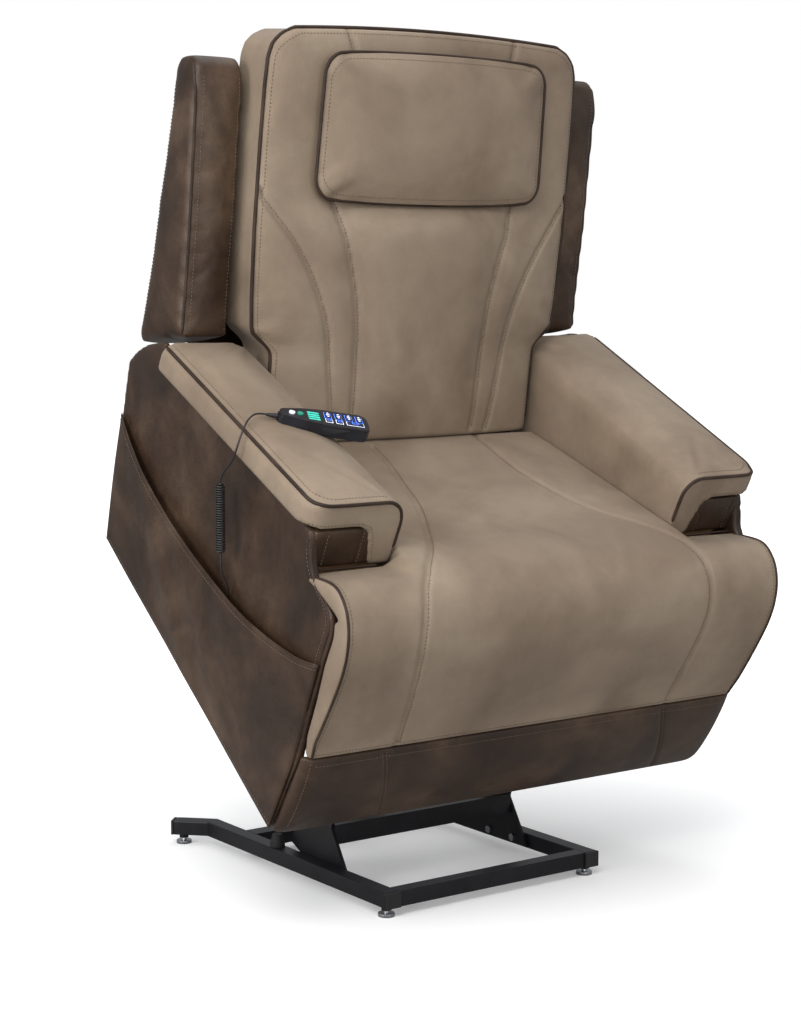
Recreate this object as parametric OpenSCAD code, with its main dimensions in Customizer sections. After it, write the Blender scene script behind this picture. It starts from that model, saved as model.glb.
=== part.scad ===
// Lift recliner chair, raised to its standing-up position.
// Chair pieces are drawn in the seated chair's own axes (y to the rear, z up from the floor)
// and placed by raised(); floor pieces are placed by grounded().

/* [Lift] */
// Tilt of the chair when fully raised, degrees
raise_tilt = 27; // [24:1:28]
// Rise of the chair's reference point when fully raised
raise_height = 180; // [178:1:184]
// Forward and back place of the raised reference point
raise_reach = 50; // [48:1:54]

/* [Seat and arms] */
// Overall width over the side panels
panel_w = 940; // [936:1:944]
// Clear seat width between the arms
seat_w = 606; // [604:1:610]
// Height of the arm pads' top
arm_z = 604; // [602:1:606]
// Overhang of each arm pad beyond the side panel
pad_over = 18; // [14:1:20]

/* [Back] */
// Lean of the upright back, degrees
back_lean = 19.5; // [19:0.5:20]
// Length of the back cushion along the back
back_top = 760; // [750:5:765]
// Half width of the back cushion above the arms
back_half_w = 345; // [335:1:346]

/* [Base] */
// Width and height of the square floor tube
tube_w = 30; // [28:1:30]
// Centre of each floor rail from the middle
rail_x = 223; // [223:1:228]

/* [Cord] */
// Diameter of the hand control's wire
wire_d = 3.2; // [3:0.1:4]
// Outer diameter of the wire's curls
curl_d = 17; // [15:1:18]

/* [Hidden] */
$fn = 48;
origin_y = 211;
half_w = panel_w / 2;
half_seat = seat_w / 2;
side_t = 18;
pad_x = half_w + pad_over;
rail_z0 = 18;
rail_z1 = 46;
pin_r = 6;
free_r = 6.06;
fine_pin_r = 5;
fine_free_r = 5.06;
tower_in = 200;
tower_t = 6;

// Pivots on the floor base
lift_pivot = [200, 290];
stay_pivot = [145, 288];
lift_motor_pivot = [470, 105];
// Pivots on the chair, in the seated chair's axes
lift_arm_end = [640, 67.1];
stay_end = [480, 100];
recline_pivot = [520, 390];
recline_motor_pivot = [280, 302];
recline_crank = [560, 310];
knee = [-100, 434];
drive_pivot = [60, 285];
drive_link = [62, -164];
legrest_crank = [31.1, 319.5];
legrest_motor_pivot = [400, 322];
// The lift arm's own crank pin, from the floor base
lift_crank = [214.6, 353.3];
window_r = 13.5;

// Where the same pivots lie once the chair is raised
function lifted(p) = [
    raise_reach + p[0] * cos(raise_tilt) - p[1] * sin(raise_tilt),
    raise_height + p[0] * sin(raise_tilt) + p[1] * cos(raise_tilt)];
lift_arm_top = lifted(lift_arm_end);
stay_top = lifted(stay_end);

// Hand control
handset_at = [-347, 275, 604.3];
handset_turn = -21;
handset_l = 156;
handset_h = 22;
key_h = 2.6;
key_float = 0.95;
key_pocket = 1.6;
rocker_l = 17;
rocker_w = 9.4;

// Cord route in the seated chair's axes, from the strain relief to the curls and on into the pocket
cord_upper_route = [
    [-436.6, 309.4, 616], [-443, 311.3, 616.4], [-450, 312.3, 616.5], [-457, 311.6, 616],
    [-463.5, 309, 615], [-469.8, 305.4, 613.4], [-475.6, 301.2, 611.2], [-481, 296.4, 608.2],
    [-486, 291.3, 604.2], [-490.4, 287, 599], [-494, 283.2, 593], [-497, 280, 586.8],
    [-499.2, 277.6, 580], [-500.6, 276, 573], [-501.3, 275.6, 566], [-501.4, 276.2, 559],
    [-501.2, 278, 552], [-500.9, 280.6, 545.4], [-500.6, 283.8, 539], [-500.4, 287.2, 533],
    [-500.2, 290.4, 527.4], [-500, 293.6, 521], [-500, 296, 514.4], [-500, 297.4, 508],
    [-500, 297.6, 502], [-500, 297, 497]];
curl_top = [-500, 297, 497];
curl_length = 118;
cord_tail_route = [
    [-500, 243.43, 391.86], [-500, 240.2, 385.6], [-500, 237, 379.4], [-499.4, 234.3, 373],
    [-498.2, 232, 367], [-496.2, 230, 361], [-493.2, 228.2, 355], [-489.6, 226.8, 349.4],
    [-486, 225.8, 343.6], [-482.8, 224.8, 337.6], [-480.4, 224, 331.4], [-478.8, 223.4, 324.6],
    [-478, 222.8, 317.4], [-477.6, 222, 309.6], [-477.5, 221, 301.6], [-477.5, 219.4, 293.8]];

press_keys = [["light_key", -55, 0], ["power_key", -41, 0]];
rocker_columns = [["back_rocker", 7], ["headrest_rocker", 25], ["legrest_rocker", 43], ["lift_rocker", 61]];

// ---------- placing and drawing helpers ----------

module grounded() translate([0, -origin_y, 0]) children();

module raised()
    translate([0, raise_reach - origin_y, raise_height]) rotate([raise_tilt, 0, 0]) children();

// The back's own axes: y runs rearwards out of the back, z up along it, from the recline pivot
module in_back()
    translate([0, recline_pivot[0], recline_pivot[1]]) rotate([-back_lean, 0, 0]) children();

module in_handset() translate(handset_at) rotate([0, 0, handset_turn]) children();

module box(from, to) translate(from) cube(to - from);

// A side profile, drawn as (y, z), made solid from x0 to x1
module slab(x0, x1) translate([x0, 0, 0]) rotate([90, 0, 90]) linear_extrude(x1 - x0) children();

module spot(p, r) translate(p) circle(r);

module rod(x0, x1, p, r) slab(x0, x1) spot(p, r);

module both_sides() {
    children();
    mirror([1, 0, 0]) children();
}

// A flat link between two pivots with a free bore at each end
module link_shape(a, b, w, bore_a, bore_b) {
    run = b - a;
    len = norm(run);
    difference() {
        union() {
            spot(a, w / 2);
            spot(b, w / 2);
            translate(a) rotate(atan2(run[1], run[0])) translate([0, -w * 0.36]) square([len, w * 0.72]);
        }
        spot(a, bore_a);
        spot(b, bore_b);
    }
}

// An arc of points round a centre
function arc(c, r, a0, a1, n) = [for (i = [0:n]) let (a = a0 + (a1 - a0) * i / n)
    c + r * [cos(a), sin(a)]];

// ---------- floor base ----------

rail_bend_y = 590;
rail_splay = 45;
rail_tail = 75;
rail_front = -9;

rail_bend = [rail_x, rail_bend_y];
rail_way = [sin(rail_splay), cos(rail_splay)];
rail_side = [cos(rail_splay), -sin(rail_splay)];
rail_mitre = [1, -tan(rail_splay / 2)];

// A straight run from y = front to the bend, then the splayed tail, w wide with a mitred bend
module rail_plan(w, front, tail) polygon([[rail_x - w / 2, front], [rail_x + w / 2, front],
    rail_bend + rail_mitre * w / 2, rail_bend + rail_way * tail + rail_side * w / 2,
    rail_bend + rail_way * tail - rail_side * w / 2, rail_bend - rail_mitre * w / 2]);

module base_rails() color("#1d1d1f") grounded() both_sides() difference() {
    translate([0, 0, rail_z0]) linear_extrude(rail_z1 - rail_z0) rail_plan(tube_w, rail_front, rail_tail);
    translate([0, 0, rail_z0 + 2.5]) linear_extrude(rail_z1 - rail_z0 - 5)
        rail_plan(tube_w - 5, rail_front - 10, rail_tail + 10);
}

cross_half = rail_x - tube_w / 2;

module cross_tube(y0, y1, z0, z1, wall, half = cross_half) difference() {
    box([-half, y0, z0], [half, y1, z1]);
    box([-half - 1, y0 + wall, z0 + wall], [half + 1, y1 - wall, z1 - wall]);
}

module base_cross_tubes() color("#1d1d1f") grounded() {
    cross_tube(rail_front, rail_front + 28, rail_z0, rail_z1, 2.5);
    cross_tube(455, 490, rail_z0, rail_z1, 2.5);
    box([-tower_in, 198, 80], [tower_in, 210, 116]);
    for (s = [-1, 1]) slab(s * 22 - 3, s * 22 + 3) difference() {
        union() {
            spot(lift_motor_pivot, 14);
            translate([456, rail_z1]) square([28, 56]);
        }
        spot(lift_motor_pivot, fine_pin_r);
    }
}

module end_cap(open_w, open_h) {
    box([-open_w / 2 + 0.2, -14, rail_z0 + 2.7], [open_w / 2 - 0.2, 0, rail_z0 + 2.3 + open_h]);
    box([-tube_w / 2, 0, rail_z0], [tube_w / 2, 4, rail_z1]);
}

module rail_end_caps() color("#0f0f10") grounded() both_sides() {
    translate([rail_x, rail_front, 0]) rotate([0, 0, 180]) end_cap(tube_w - 5, rail_z1 - rail_z0 - 5);
    translate([rail_x, rail_bend_y, 0]) rotate([0, 0, -rail_splay]) translate([0, rail_tail, 0])
        end_cap(tube_w - 5, rail_z1 - rail_z0 - 5);
}

module tower_plate() difference() {
    union() {
        polygon([[150, 22], [205, 110], [176, 190], [128, 284], [217, 296], [262, 200],
            [304, 112], [340, 60], [298, 40], [298, 22]]);
        spot(stay_pivot, 18);
        spot(lift_pivot, 18);
    }
    spot(stay_pivot, pin_r);
    spot(lift_pivot, pin_r);
    spot([228, 160], 17);
}

module base_towers() color("#1b1b1d") grounded() both_sides() difference() {
    union() {
        slab(tower_in, tower_in + tower_t) tower_plate();
        box([tower_in + tower_t, 160, 24], [cross_half, 294, 44]);
    }
    for (y = [190, 262]) rod(tower_in - 1, cross_half + 1, [y, 34], 4.1);
}

front_foot = [rail_x, 10];
rear_foot = rail_bend + 57 * rail_way;

module each_foot() for (p = [front_foot, rear_foot]) both_sides() translate([p[0], p[1], 0]) children();

module levelling_feet() color("#b9bbbd") grounded() each_foot() {
    cylinder(r = 14.5, h = 6);
    translate([0, 0, 6]) cylinder(r = 5, h = 5);
}

module foot_collars() color("#1d1d1f") grounded() each_foot() {
    translate([0, 0, 11]) cylinder(r = 10, h = rail_z0 - 11, $fn = 6);
}

module rest_bumpers() color("#161616") grounded() both_sides() translate([rail_x, 357, rail_z1])
    rotate_extrude() polygon([[0, 0], [14, 0], [14, 6], [9, 24], [0, 24]]);

module base_bolts() color("#a9abad") grounded() both_sides() for (y = [190, 262])
    translate([tower_in, y, 34]) rotate([0, -90, 0]) cylinder(r = 7.5, h = 5, $fn = 6);

module power_box() color("#141416") grounded() difference() {
    union() {
        box([60, 500, 9], [196, 566, 60]);
        box([80, 490.2, 24], [176, 500, 44]);
    }
    box([112, 556, 24], [140, 567, 44]);
}

module base_pivot_pins() color("#c4c6c8") grounded() {
    both_sides() {
        rod(188, 206, lift_pivot, pin_r);
        rod(206, 208.6, lift_pivot, 11);
        rod(198, 218, stay_pivot, pin_r);
        rod(218, 222, stay_pivot, 11);
    }
    rod(-27, 27, lift_motor_pivot, fine_pin_r);
}

// ---------- lift mechanism ----------

module lift_arms() color("#202124") grounded() {
    both_sides() slab(190, 196) link_shape(lift_pivot, lift_arm_top, 36, free_r, free_r);
    difference() {
        rod(-190, 190, lift_pivot, 14);
        rod(-191, 191, lift_pivot, 11);
    }
    for (s = [-1, 1]) slab(s * 20 - 3, s * 20 + 3) difference() {
        union() {
            link_shape(lift_pivot, lift_crank, 38, 11, 1);
            spot(lift_crank, window_r + 6);
        }
        spot(lift_pivot, 12);
        spot(lift_crank, window_r);
    }
}

module stay_links() color("#202124") grounded() both_sides() slab(209, 215)
    link_shape(stay_pivot, stay_top, 32, free_r, free_r + 1.4);

// A motor with its gear head and outer tube, from pivot a towards b, reach is the tube's length
module linear_motor(a, b, x, reach, fat, side) {
    run = b - a;
    translate([x, a[0], a[1]]) rotate([atan2(run[1], run[0]), 0, 0]) difference() {
        union() {
            rotate([0, 90, 0]) translate([0, 0, -15]) cylinder(r = 13, h = 30);
            box([-14, 0, -13], [14, 34, 13]);
            translate([0, 34, 0]) rotate([-90, 0, 0]) cylinder(r = fat, h = 36);
            translate([0, 60, 0]) rotate([-90, 0, 0]) cylinder(r = fat - 3, h = reach - 60);
            translate([0, 52, -side * 10]) rotate([0, side * 90, 0]) cylinder(r = 17, h = 78);
        }
        translate([-20, 0, 0]) rotate([0, 90, 0]) cylinder(r = fine_free_r, h = 40);
        translate([0, reach - 130, 0]) rotate([-90, 0, 0]) cylinder(r = 9.5, h = 140);
    }
}

// The sliding rod of a motor, with its eye and cross pin at b
module motor_rod(a, b, x, back, half_pin) {
    run = b - a;
    len = norm(run);
    translate([x, a[0], a[1]]) rotate([atan2(run[1], run[0]), 0, 0]) {
        translate([0, len - back, 0]) rotate([-90, 0, 0]) cylinder(r = 9, h = back - 8);
        translate([0, len, 0]) rotate([0, 90, 0]) translate([0, 0, -10]) cylinder(r = 12, h = 20);
        translate([0, len, 0]) rotate([0, 90, 0]) translate([0, 0, -half_pin])
            cylinder(r = fine_pin_r, h = 2 * half_pin);
    }
}

module lift_motor() color("#161719") grounded() linear_motor(lift_motor_pivot, lift_crank, 0, 235, 22, 1);
module lift_ram() color("#c8cacc") grounded() motor_rod(lift_motor_pivot, lift_crank, 0, 180, 27);

// ---------- frame that carries the seat ----------

plate_in = 178;
plate_out = 184;
lug_in = 218;

module lift_plate() difference() {
    union() {
        polygon([[622, 72], [520, 86], [470, 130], [400, 268], [400, 330], [540, 330], [556, 300], [655, 90]]);
        spot(lift_arm_end, 20);
    }
    spot(lift_arm_end, pin_r);
    polygon([[520, 150], [590, 150], [530, 262], [470, 262]]);
}

module lift_frame() color("#1c1d1f") raised() {
    both_sides() {
        slab(plate_in, plate_out) lift_plate();
        slab(lug_in, lug_in + 6) difference() {
            union() {
                spot(stay_end, 18);
                polygon([[462, 98], [498, 98], [530, 306], [530, 330], [410, 330], [410, 306]]);
            }
            spot(stay_end, pin_r);
        }
        for (y = [400, 500]) box([plate_out, y, 305], [half_seat + 12, y + 40, 330]);
    }
    translate([0, 430, 250]) difference() {
        box([-plate_in, 0, 0], [plate_in, 25, 25]);
        box([-plate_in - 1, 2.5, 2.5], [plate_in + 1, 22.5, 22.5]);
    }
    translate([0, 575, 112]) difference() {
        box([-plate_in, 0, 0], [plate_in, 25, 25]);
        box([-plate_in - 1, 2.5, 2.5], [plate_in + 1, 22.5, 22.5]);
    }
}

module seat_frame() color("#b08d62") raised() {
    both_sides() difference() {
        union() {
            box([277, -30, 330], [half_seat + 12, 556, 368]);
            slab(271, 277) union() {
                spot(recline_pivot, 18);
                polygon([[470, 335], [556, 335], [538, 392], [502, 392]]);
            }
        }
        rod(270, 316, recline_pivot, pin_r);
    }
    box([-276.9, -30, 330], [276.9, 10, 368]);
    box([-270.9, 420, 330], [270.9, 458, 368]);
    both_sides() slab(244, 250) difference() {
        union() {
            spot(drive_pivot, 15);
            polygon([[20, 330], [100, 330], [74, 288], [46, 288]]);
        }
        spot(drive_pivot, pin_r);
    }
    both_sides() box([250, 20, 322], [276.8, 100, 329.9]);
    for (s = [-1, 1]) slab(-90 + s * 21 - 3, -90 + s * 21 + 3) motor_ear(legrest_motor_pivot);
    for (s = [-1, 1]) slab(90 + s * 21 - 3, 90 + s * 21 + 3) motor_ear(recline_motor_pivot);
    box([-114, 374, 349], [-66, 419.8, 357]);
    box([66, 254, 349], [114, 419.8, 357]);
}

module motor_ear(p) difference() {
    union() {
        spot(p, 13);
        translate([p[0] - 13, p[1]]) square([26, 349 - p[1]]);
    }
    spot(p, fine_pin_r);
}

spring_r = 11;
spring_pitch = 4 * spring_r;
spring_wire = 4;

// Half of one bend of a zigzag seat spring, lying flat
module spring_bend(side) difference() {
    circle(spring_r + spring_wire / 2);
    circle(spring_r - spring_wire / 2);
    translate([-20, side > 0 ? -40 : 0]) square([40, 40]);
}

module zigzag_spring() for (i = [0:8]) translate([0, 20 + i * spring_pitch, 0]) {
    translate([14, spring_r]) rotate(-90) spring_bend(1);
    translate([-14, 3 * spring_r]) rotate(90) spring_bend(1);
    translate([-14, 2 * spring_r - spring_wire / 2]) square([28, spring_wire]);
    translate([-14, 4 * spring_r - spring_wire / 2]) square([28, spring_wire]);
}

module seat_springs() color("#8d9094") raised() for (x = [-220:110:220])
    translate([x, 0, 362]) linear_extrude(spring_wire) {
        zigzag_spring();
        translate([-14, 20 - spring_wire / 2]) square([28, spring_wire]);
        translate([-spring_wire / 2, 10.3]) square([spring_wire, 10]);
        translate([-spring_wire / 2, 415]) square([spring_wire, 4.6]);
    }

module carriage_pivot_pins() color("#c4c6c8") raised() {
    both_sides() {
        rod(plate_in - 4, 198, lift_arm_end, pin_r);
        rod(207.5, lug_in + 9, stay_end, pin_r);
        rod(262, 277, recline_pivot, pin_r);
        rod(234, 252, drive_pivot, pin_r);
    }
    rod(-117, -63, legrest_motor_pivot, fine_pin_r);
    rod(63, 117, recline_motor_pivot, fine_pin_r);
}

// ---------- sides and arms ----------

side_outline = concat(
    [[-42, 34.5], [267, 94], [641, 165], [668, 294], [693, 425]],
    arc(recline_pivot, 216, 30, 68, 8),
    [[600, 545], [70, 545], [62, 520], [48, 494], [27, 478], [-10, 464], [-50, 455], [-47, 373],
     [-54, 309], [-61, 191], [-48, 112], [-44, 60]]);

module side_panel() color("#45372f") raised() slab(half_w - side_t, half_w) polygon(side_outline);

module side_panel_left() side_panel();
module side_panel_right() mirror([1, 0, 0]) side_panel();

arm_in = half_seat + 12;
arm_out = half_w - side_t;

module arm_box() color("#c2a06f") raised() difference() {
    box([arm_in, 92, 330], [arm_out, 590, 545]);
    box([arm_in + 12, 104, 320], [arm_out - 12, 578, 533]);
}

module arm_box_left() arm_box();
module arm_box_right() mirror([1, 0, 0]) arm_box();

// Front view of a pad as (x, z): a thick top, a short outer lip and a skirt down the inner face
pad_section = [[half_seat, 402], [half_seat, arm_z - 22], [half_seat + 5, arm_z - 10],
    [half_seat + 18, arm_z - 2], [half_seat + 34, arm_z], [pad_x - 24, arm_z], [pad_x - 9, arm_z - 4],
    [pad_x - 1, arm_z - 14], [pad_x, arm_z - 26], [pad_x, 548], [half_w + 0.4, 546],
    [half_w - 8, 545.3], [arm_in, 545.3], [arm_in - 0.3, 402]];

module arm_pad() color("#8b7a68") raised() difference() {
    union() {
        translate([0, 586, 0]) rotate([90, 0, 0]) linear_extrude(518) polygon(pad_section);
        translate([0, 92, 0]) rotate([90, 0, 0]) linear_extrude(32) polygon([[half_seat, 474],
            [half_seat, arm_z - 22], [half_seat + 18, arm_z - 4], [pad_x - 14, arm_z - 8],
            [pad_x, arm_z - 24], [pad_x, 552], [356, 552], [334, 530], [324, 474]]);
    }
    box([arm_in, 68.2, 460], [half_w - 2, 91.8, 545.3]);
}

module arm_pad_left() arm_pad();
module arm_pad_right() mirror([1, 0, 0]) arm_pad();

module arm_fronts() color("#40332c") raised() both_sides()
    box([arm_in + 0.5, 72, 486], [arm_out - 0.3, 91.5, 545]);

pocket_rim = [[-44, 368], [9, 350], [100, 334], [199, 327], [384, 336], [552, 364], [682, 407]];
pocket_edge = [[662, 296], [635, 170], [266, 100], [-44, 40], [-56, 191], [-50, 309]];
pocket_room = [[-36, 420], [9, 420], [199, 420], [384, 420], [552, 420], [672, 420], [655, 300],
    [630, 176], [265, 107], [-38, 48], [-49, 191], [-44, 309]];
pocket_gap = 16;

module side_pocket() color("#4a3a31") raised() difference() {
    slab(-half_w - pocket_gap - 3, -half_w) polygon(concat(pocket_rim, pocket_edge));
    slab(-half_w - pocket_gap, -half_w + 1) polygon(pocket_room);
}

module corner_brackets() color("#b5b7b8") raised() both_sides() {
    box([arm_out - 30, -34, 58], [arm_out - 0.2, 6, 61]);
    box([arm_out - 3.2, -34, 61], [arm_out - 0.2, 6, 96]);
}

// ---------- seat and leg rest ----------

seat_top = [[473, 450], [400, 462], [300, 474], [200, 486], [110, 496], [40, 502], [0, 503],
    [-38, 494], [-60, 478], [-75, 463], [-83, 452], [-86, 442]];

ear_nose = [[40, 504], [0, 503], [-38, 494], [-60, 478], [-75, 463], [-83, 452], [-86, 442]];
seat_front = [[-60, 438], [-47, 420]];

module seat_cushion() color("#8b7a68") raised() {
    slab(-half_seat + 3, half_seat - 3) polygon(concat(seat_top, seat_front, [[-40, 369], [473, 369]]));
    slab(-arm_out + 0.4, arm_out - 0.4) polygon(concat([[59.5, 490], [59.5, 502]], ear_nose, seat_front,
        [[-10, 466], [27, 482], [40, 490]]));
    slab(-half_w, half_w) polygon(concat([[47, 494], [47, 503.5]], ear_nose,
        [[-61, 440], [-52, 460], [-10, 467.5], [27, 481.5], [40, 491]]));
}

module legrest_board() color("#b08d62") raised() difference() {
    union() {
        slab(-438, 438) polygon([[-64, 112], [-50, 112], [-50, 416], [-64, 416]]);
        both_sides() slab(220, 226) polygon([[-50, 240], [-30, 254], [-24, 270], [-30, 286], [-50, 300]]);
    }
    rod(-230, 230, knee + drive_link, free_r);
}

module legrest_pad() color("#8b7a68") raised() slab(-half_w, half_w) polygon([[-65, 206], [-65, 418],
    [-72, 426], [-95, 426], [-99, 412], [-98, 370], [-92, 309], [-84, 240], [-77, 206]]);

module toe_panel() color("#3e322b") raised() difference() {
    slab(-half_w + 6, half_w - 6) polygon([[-83, 204], [-83, 170], [-78, 120], [-70, 76], [-62, 50],
        [-56, 41], [-50, 42], [-50, 110], [-65, 110], [-65, 204]]);
    for (s = [-1, 1]) translate([s * half_w, -100, 30]) rotate([0, s * 6, 0])
        box([-14, -20, -60], [14, 90, 90]);
}

module legrest_drive_arms() color("#222326") raised() {
    both_sides() slab(236, 242)
        link_shape(drive_pivot, drive_pivot + drive_link, 26, free_r, pin_r);
    difference() {
        rod(-236, 236, drive_pivot, 12);
        rod(-237, 237, drive_pivot, 9);
        for (s = [-1, 1]) rod(s * 240 - 6, s * 240 + 6, drive_pivot, free_r);
    }
    for (s = [-1, 1]) slab(-90 + s * 20 - 3, -90 + s * 20 + 3) difference() {
        union() {
            link_shape(drive_pivot, legrest_crank, 30, 9, 1);
            spot(legrest_crank, window_r + 5);
        }
        spot(drive_pivot, 10);
        spot(legrest_crank, window_r);
    }
    both_sides() rod(227.8, 244, drive_pivot + drive_link, pin_r);
}

module legrest_push_links() color("#222326") raised() both_sides() {
    slab(228, 234) link_shape(drive_pivot + drive_link, knee + drive_link, 24, free_r, pin_r);
    rod(218, 234, knee + drive_link, pin_r);
}

// ---------- back ----------

module back_frame() color("#b08d62") raised() in_back() {
    both_sides() difference() {
        union() {
            slab(262, 268) union() {
                spot([0, 0], 18);
                polygon([[-16, 10], [15, -8], [74, 50], [74, 110], [50, 110], [46.6, 60], [46.6, 39.4],
                    [4, 39.4]]);
            }
            slab(236, 262) polygon([[47, 60], [75, 60], [75, 524], [50, 646], [47, 646]]);
        }
        rod(261, 269, [0, 0], free_r);
    }
    for (w = [60, 280, 496]) box([-235.9, 47, w], [235.9, 75, w + 28]);
    color("#222326") difference() {
        union() {
            rod(-261.9, 261.9, [0, 0], 12);
            recline_ears();
            both_sides() slab(100, 106) polygon([[-4, 9], [10, 4], [46.7, 25], [46.7, 39.4], [-4, 39.4]]);
        }
        rod(-263, 263, [0, 0], 9);
    }
}

module recline_ears() for (s = [-1, 1]) slab(90 + s * 20 - 3, 90 + s * 20 + 3)
    rotate(back_lean) translate(-recline_pivot) difference() {
        union() {
            link_shape(recline_pivot, recline_crank, 32, 9, 1);
            spot(recline_crank, window_r + 5);
        }
        spot(recline_pivot, 10);
        spot(recline_crank, window_r);
    }

module back_cushion() color("#8b7a68") raised() in_back() translate([0, 46, 0]) rotate([90, 0, 0])
    linear_extrude(118) polygon(back_outline());

function half_back() = [[293, 44], [295, 208], [305, 224], [338, 240], [back_half_w, 330],
    [back_half_w, 520], [340, 640], [334, back_top - 34], [322, back_top - 12], [296, back_top]];

function back_outline() = concat(half_back(), [for (i = [len(half_back()) - 1:-1:0])
    [-half_back()[i][0], half_back()[i][1]]]);

wing_in = back_half_w + 4;
wing_out = 450;

module wing() color("#43362e") raised() in_back() slab(wing_in, wing_out) polygon([[0, 224], [150, 192],
    [156, 206], [60, 690], [48, 705], [14, 706], [4, 698], [-6, 648], [-8, 420]]);

module wing_left() wing();
module wing_right() mirror([1, 0, 0]) wing();

module back_panel() color("#43362e") raised() in_back() slab(-wing_in + 0.6, wing_in - 0.6)
    polygon([[134, 120], [152, 116], [154, 206], [60, 680], [46, 690], [46.3, 676], [140, 204]]);

headrest_foot = 486;

module headrest_board() color("#b08d62") raised() in_back()
    box([-205, -80, headrest_foot], [205, -72.4, 706]);

module headrest_pillow() color("#8b7a68") raised() in_back() translate([0, -80.2, 0]) rotate([90, 0, 0])
    linear_extrude(30) polygon([[-236, headrest_foot], [236, headrest_foot], [245, headrest_foot + 12],
        [245, 718], [235, 728], [-235, 728], [-245, 718], [-245, headrest_foot + 12]]);

module recline_motor() color("#161719") raised()
    linear_motor(recline_motor_pivot, recline_crank, 90, 185, 17, 1);
module recline_ram() color("#c8cacc") raised() motor_rod(recline_motor_pivot, recline_crank, 90, 145, 27);

module legrest_motor() color("#161719") raised()
    linear_motor(legrest_motor_pivot, legrest_crank, -90, 270, 17, -1);
module legrest_ram() color("#c8cacc") raised() motor_rod(legrest_motor_pivot, legrest_crank, -90, 165, 27);

// ---------- hand control ----------

// Outline from above: a narrow cord end that widens to a blunt far end
handset_outline = concat(arc([-65, 0], 13, 105, 255, 8),
    [[-40, -20.5], [-5, -25.5], [40, -26.5]], arc([62, -10.5], 16, -90, -10, 4),
    arc([62, 10.5], 16, 10, 90, 4), [[40, 26.5], [-5, 25.5], [-40, 20.5]]);

module key_pockets() {
    for (k = press_keys) translate([k[1], 0, handset_h - key_pocket]) cylinder(r = 5.5, h = 5);
    for (k = rocker_columns) translate([k[1] - 5.1, -1.5, handset_h - key_pocket])
        cube([10.2, rocker_l + 0.8, 5]);
    for (x = [7, 25]) translate([x - 5.1, -14.6, handset_h - key_pocket]) cube([10.2, 9.6, 5]);
    translate([43 - 5.1, -14.6, handset_h - key_pocket]) cube([28.2, 9.6, 5]);
    for (i = [0:3]) translate([-28, -13.5 + 7 * i, handset_h - 1]) cube([20, 4.4, 5]);
}

module handset_shell() color("#17181b") raised() in_handset() difference() {
    union() {
        linear_extrude(handset_h - 5) polygon(handset_outline);
        translate([0, 0, handset_h - 5]) linear_extrude(5) scale(0.975) polygon(handset_outline);
    }
    key_pockets();
}

module indicator_bars() color("#3fae9c") raised() in_handset() for (i = [0:3])
    translate([-27.8, -13.3 + 7 * i, handset_h - 1]) cube([19.6, 4, 1.5]);

key_z = handset_h - key_pocket + key_float;

module round_key(i, paint) color(paint) raised() in_handset()
    translate([press_keys[i][1], 0, key_z]) cylinder(r = 5.1, h = key_h);

module light_key() round_key(0, "#e8e8ea");
module power_key() round_key(1, "#37a98c");

module rocker(i) color("#2b3350") raised() in_handset()
    translate([rocker_columns[i][1] - rocker_w / 2, -1.1, key_z]) cube([rocker_w, rocker_l, key_h]);

module back_rocker() rocker(0);
module headrest_rocker() rocker(1);
module legrest_rocker() rocker(2);
module lift_rocker() rocker(3);

module square_key(x, w) color("#dfe3f2") raised() in_handset()
    translate([x - rocker_w / 2, -14.2, key_z]) cube([w, 8.8, key_h]);

module memory_key_one() square_key(7, rocker_w);
module memory_key_two() square_key(25, rocker_w);
module home_key() square_key(43, rocker_w + 18);

// ---------- cord ----------

module cord_grip() color("#121214") raised() in_handset() translate([-78, 0, 11.7]) rotate([0, -90, 0])
    rotate_extrude() polygon([[0, 0], [4.2, 0], [3.6, 9], [2.6, 18], [0, 18]]);

// Unit directions along a route, and a ring of points round each of its points
function along(pts, i) = let (d = pts[min(i + 1, len(pts) - 1)] - pts[max(i - 1, 0)]) d / norm(d);
function ring(pts, i, r, sides) = let (t = along(pts, i), side = cross(t, [0.35, 1, 0.2]),
    a = side / norm(side), b = cross(t, a))
    [for (k = [0:sides - 1]) pts[i] + r * (a * cos(360 * k / sides) + b * sin(360 * k / sides))];

module swept_wire(pts, r, sides = 8) {
    n = len(pts);
    polyhedron(points = [for (i = [0:n - 1]) each ring(pts, i, r, sides)],
        faces = concat([[for (k = [0:sides - 1]) k]],
            [for (i = [0:n - 2]) for (k = [0:sides - 1]) let (m = (k + 1) % sides)
                [i * sides + k, (i + 1) * sides + k, (i + 1) * sides + m, i * sides + m]],
            [[for (k = [sides - 1:-1:0]) (n - 1) * sides + k]]));
}

module cord_upper() color("#101012") raised() swept_wire(cord_upper_route, wire_d / 2);

module cord_curls() color("#101012") raised() translate(curl_top) rotate([-raise_tilt, 0, 0])
    translate([0, 0, -curl_length]) cylinder(r = curl_d / 2, h = curl_length);

module cord_tail() color("#101012") raised() swept_wire(cord_tail_route, wire_d / 2);

// ---------- the nodes ----------

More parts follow.
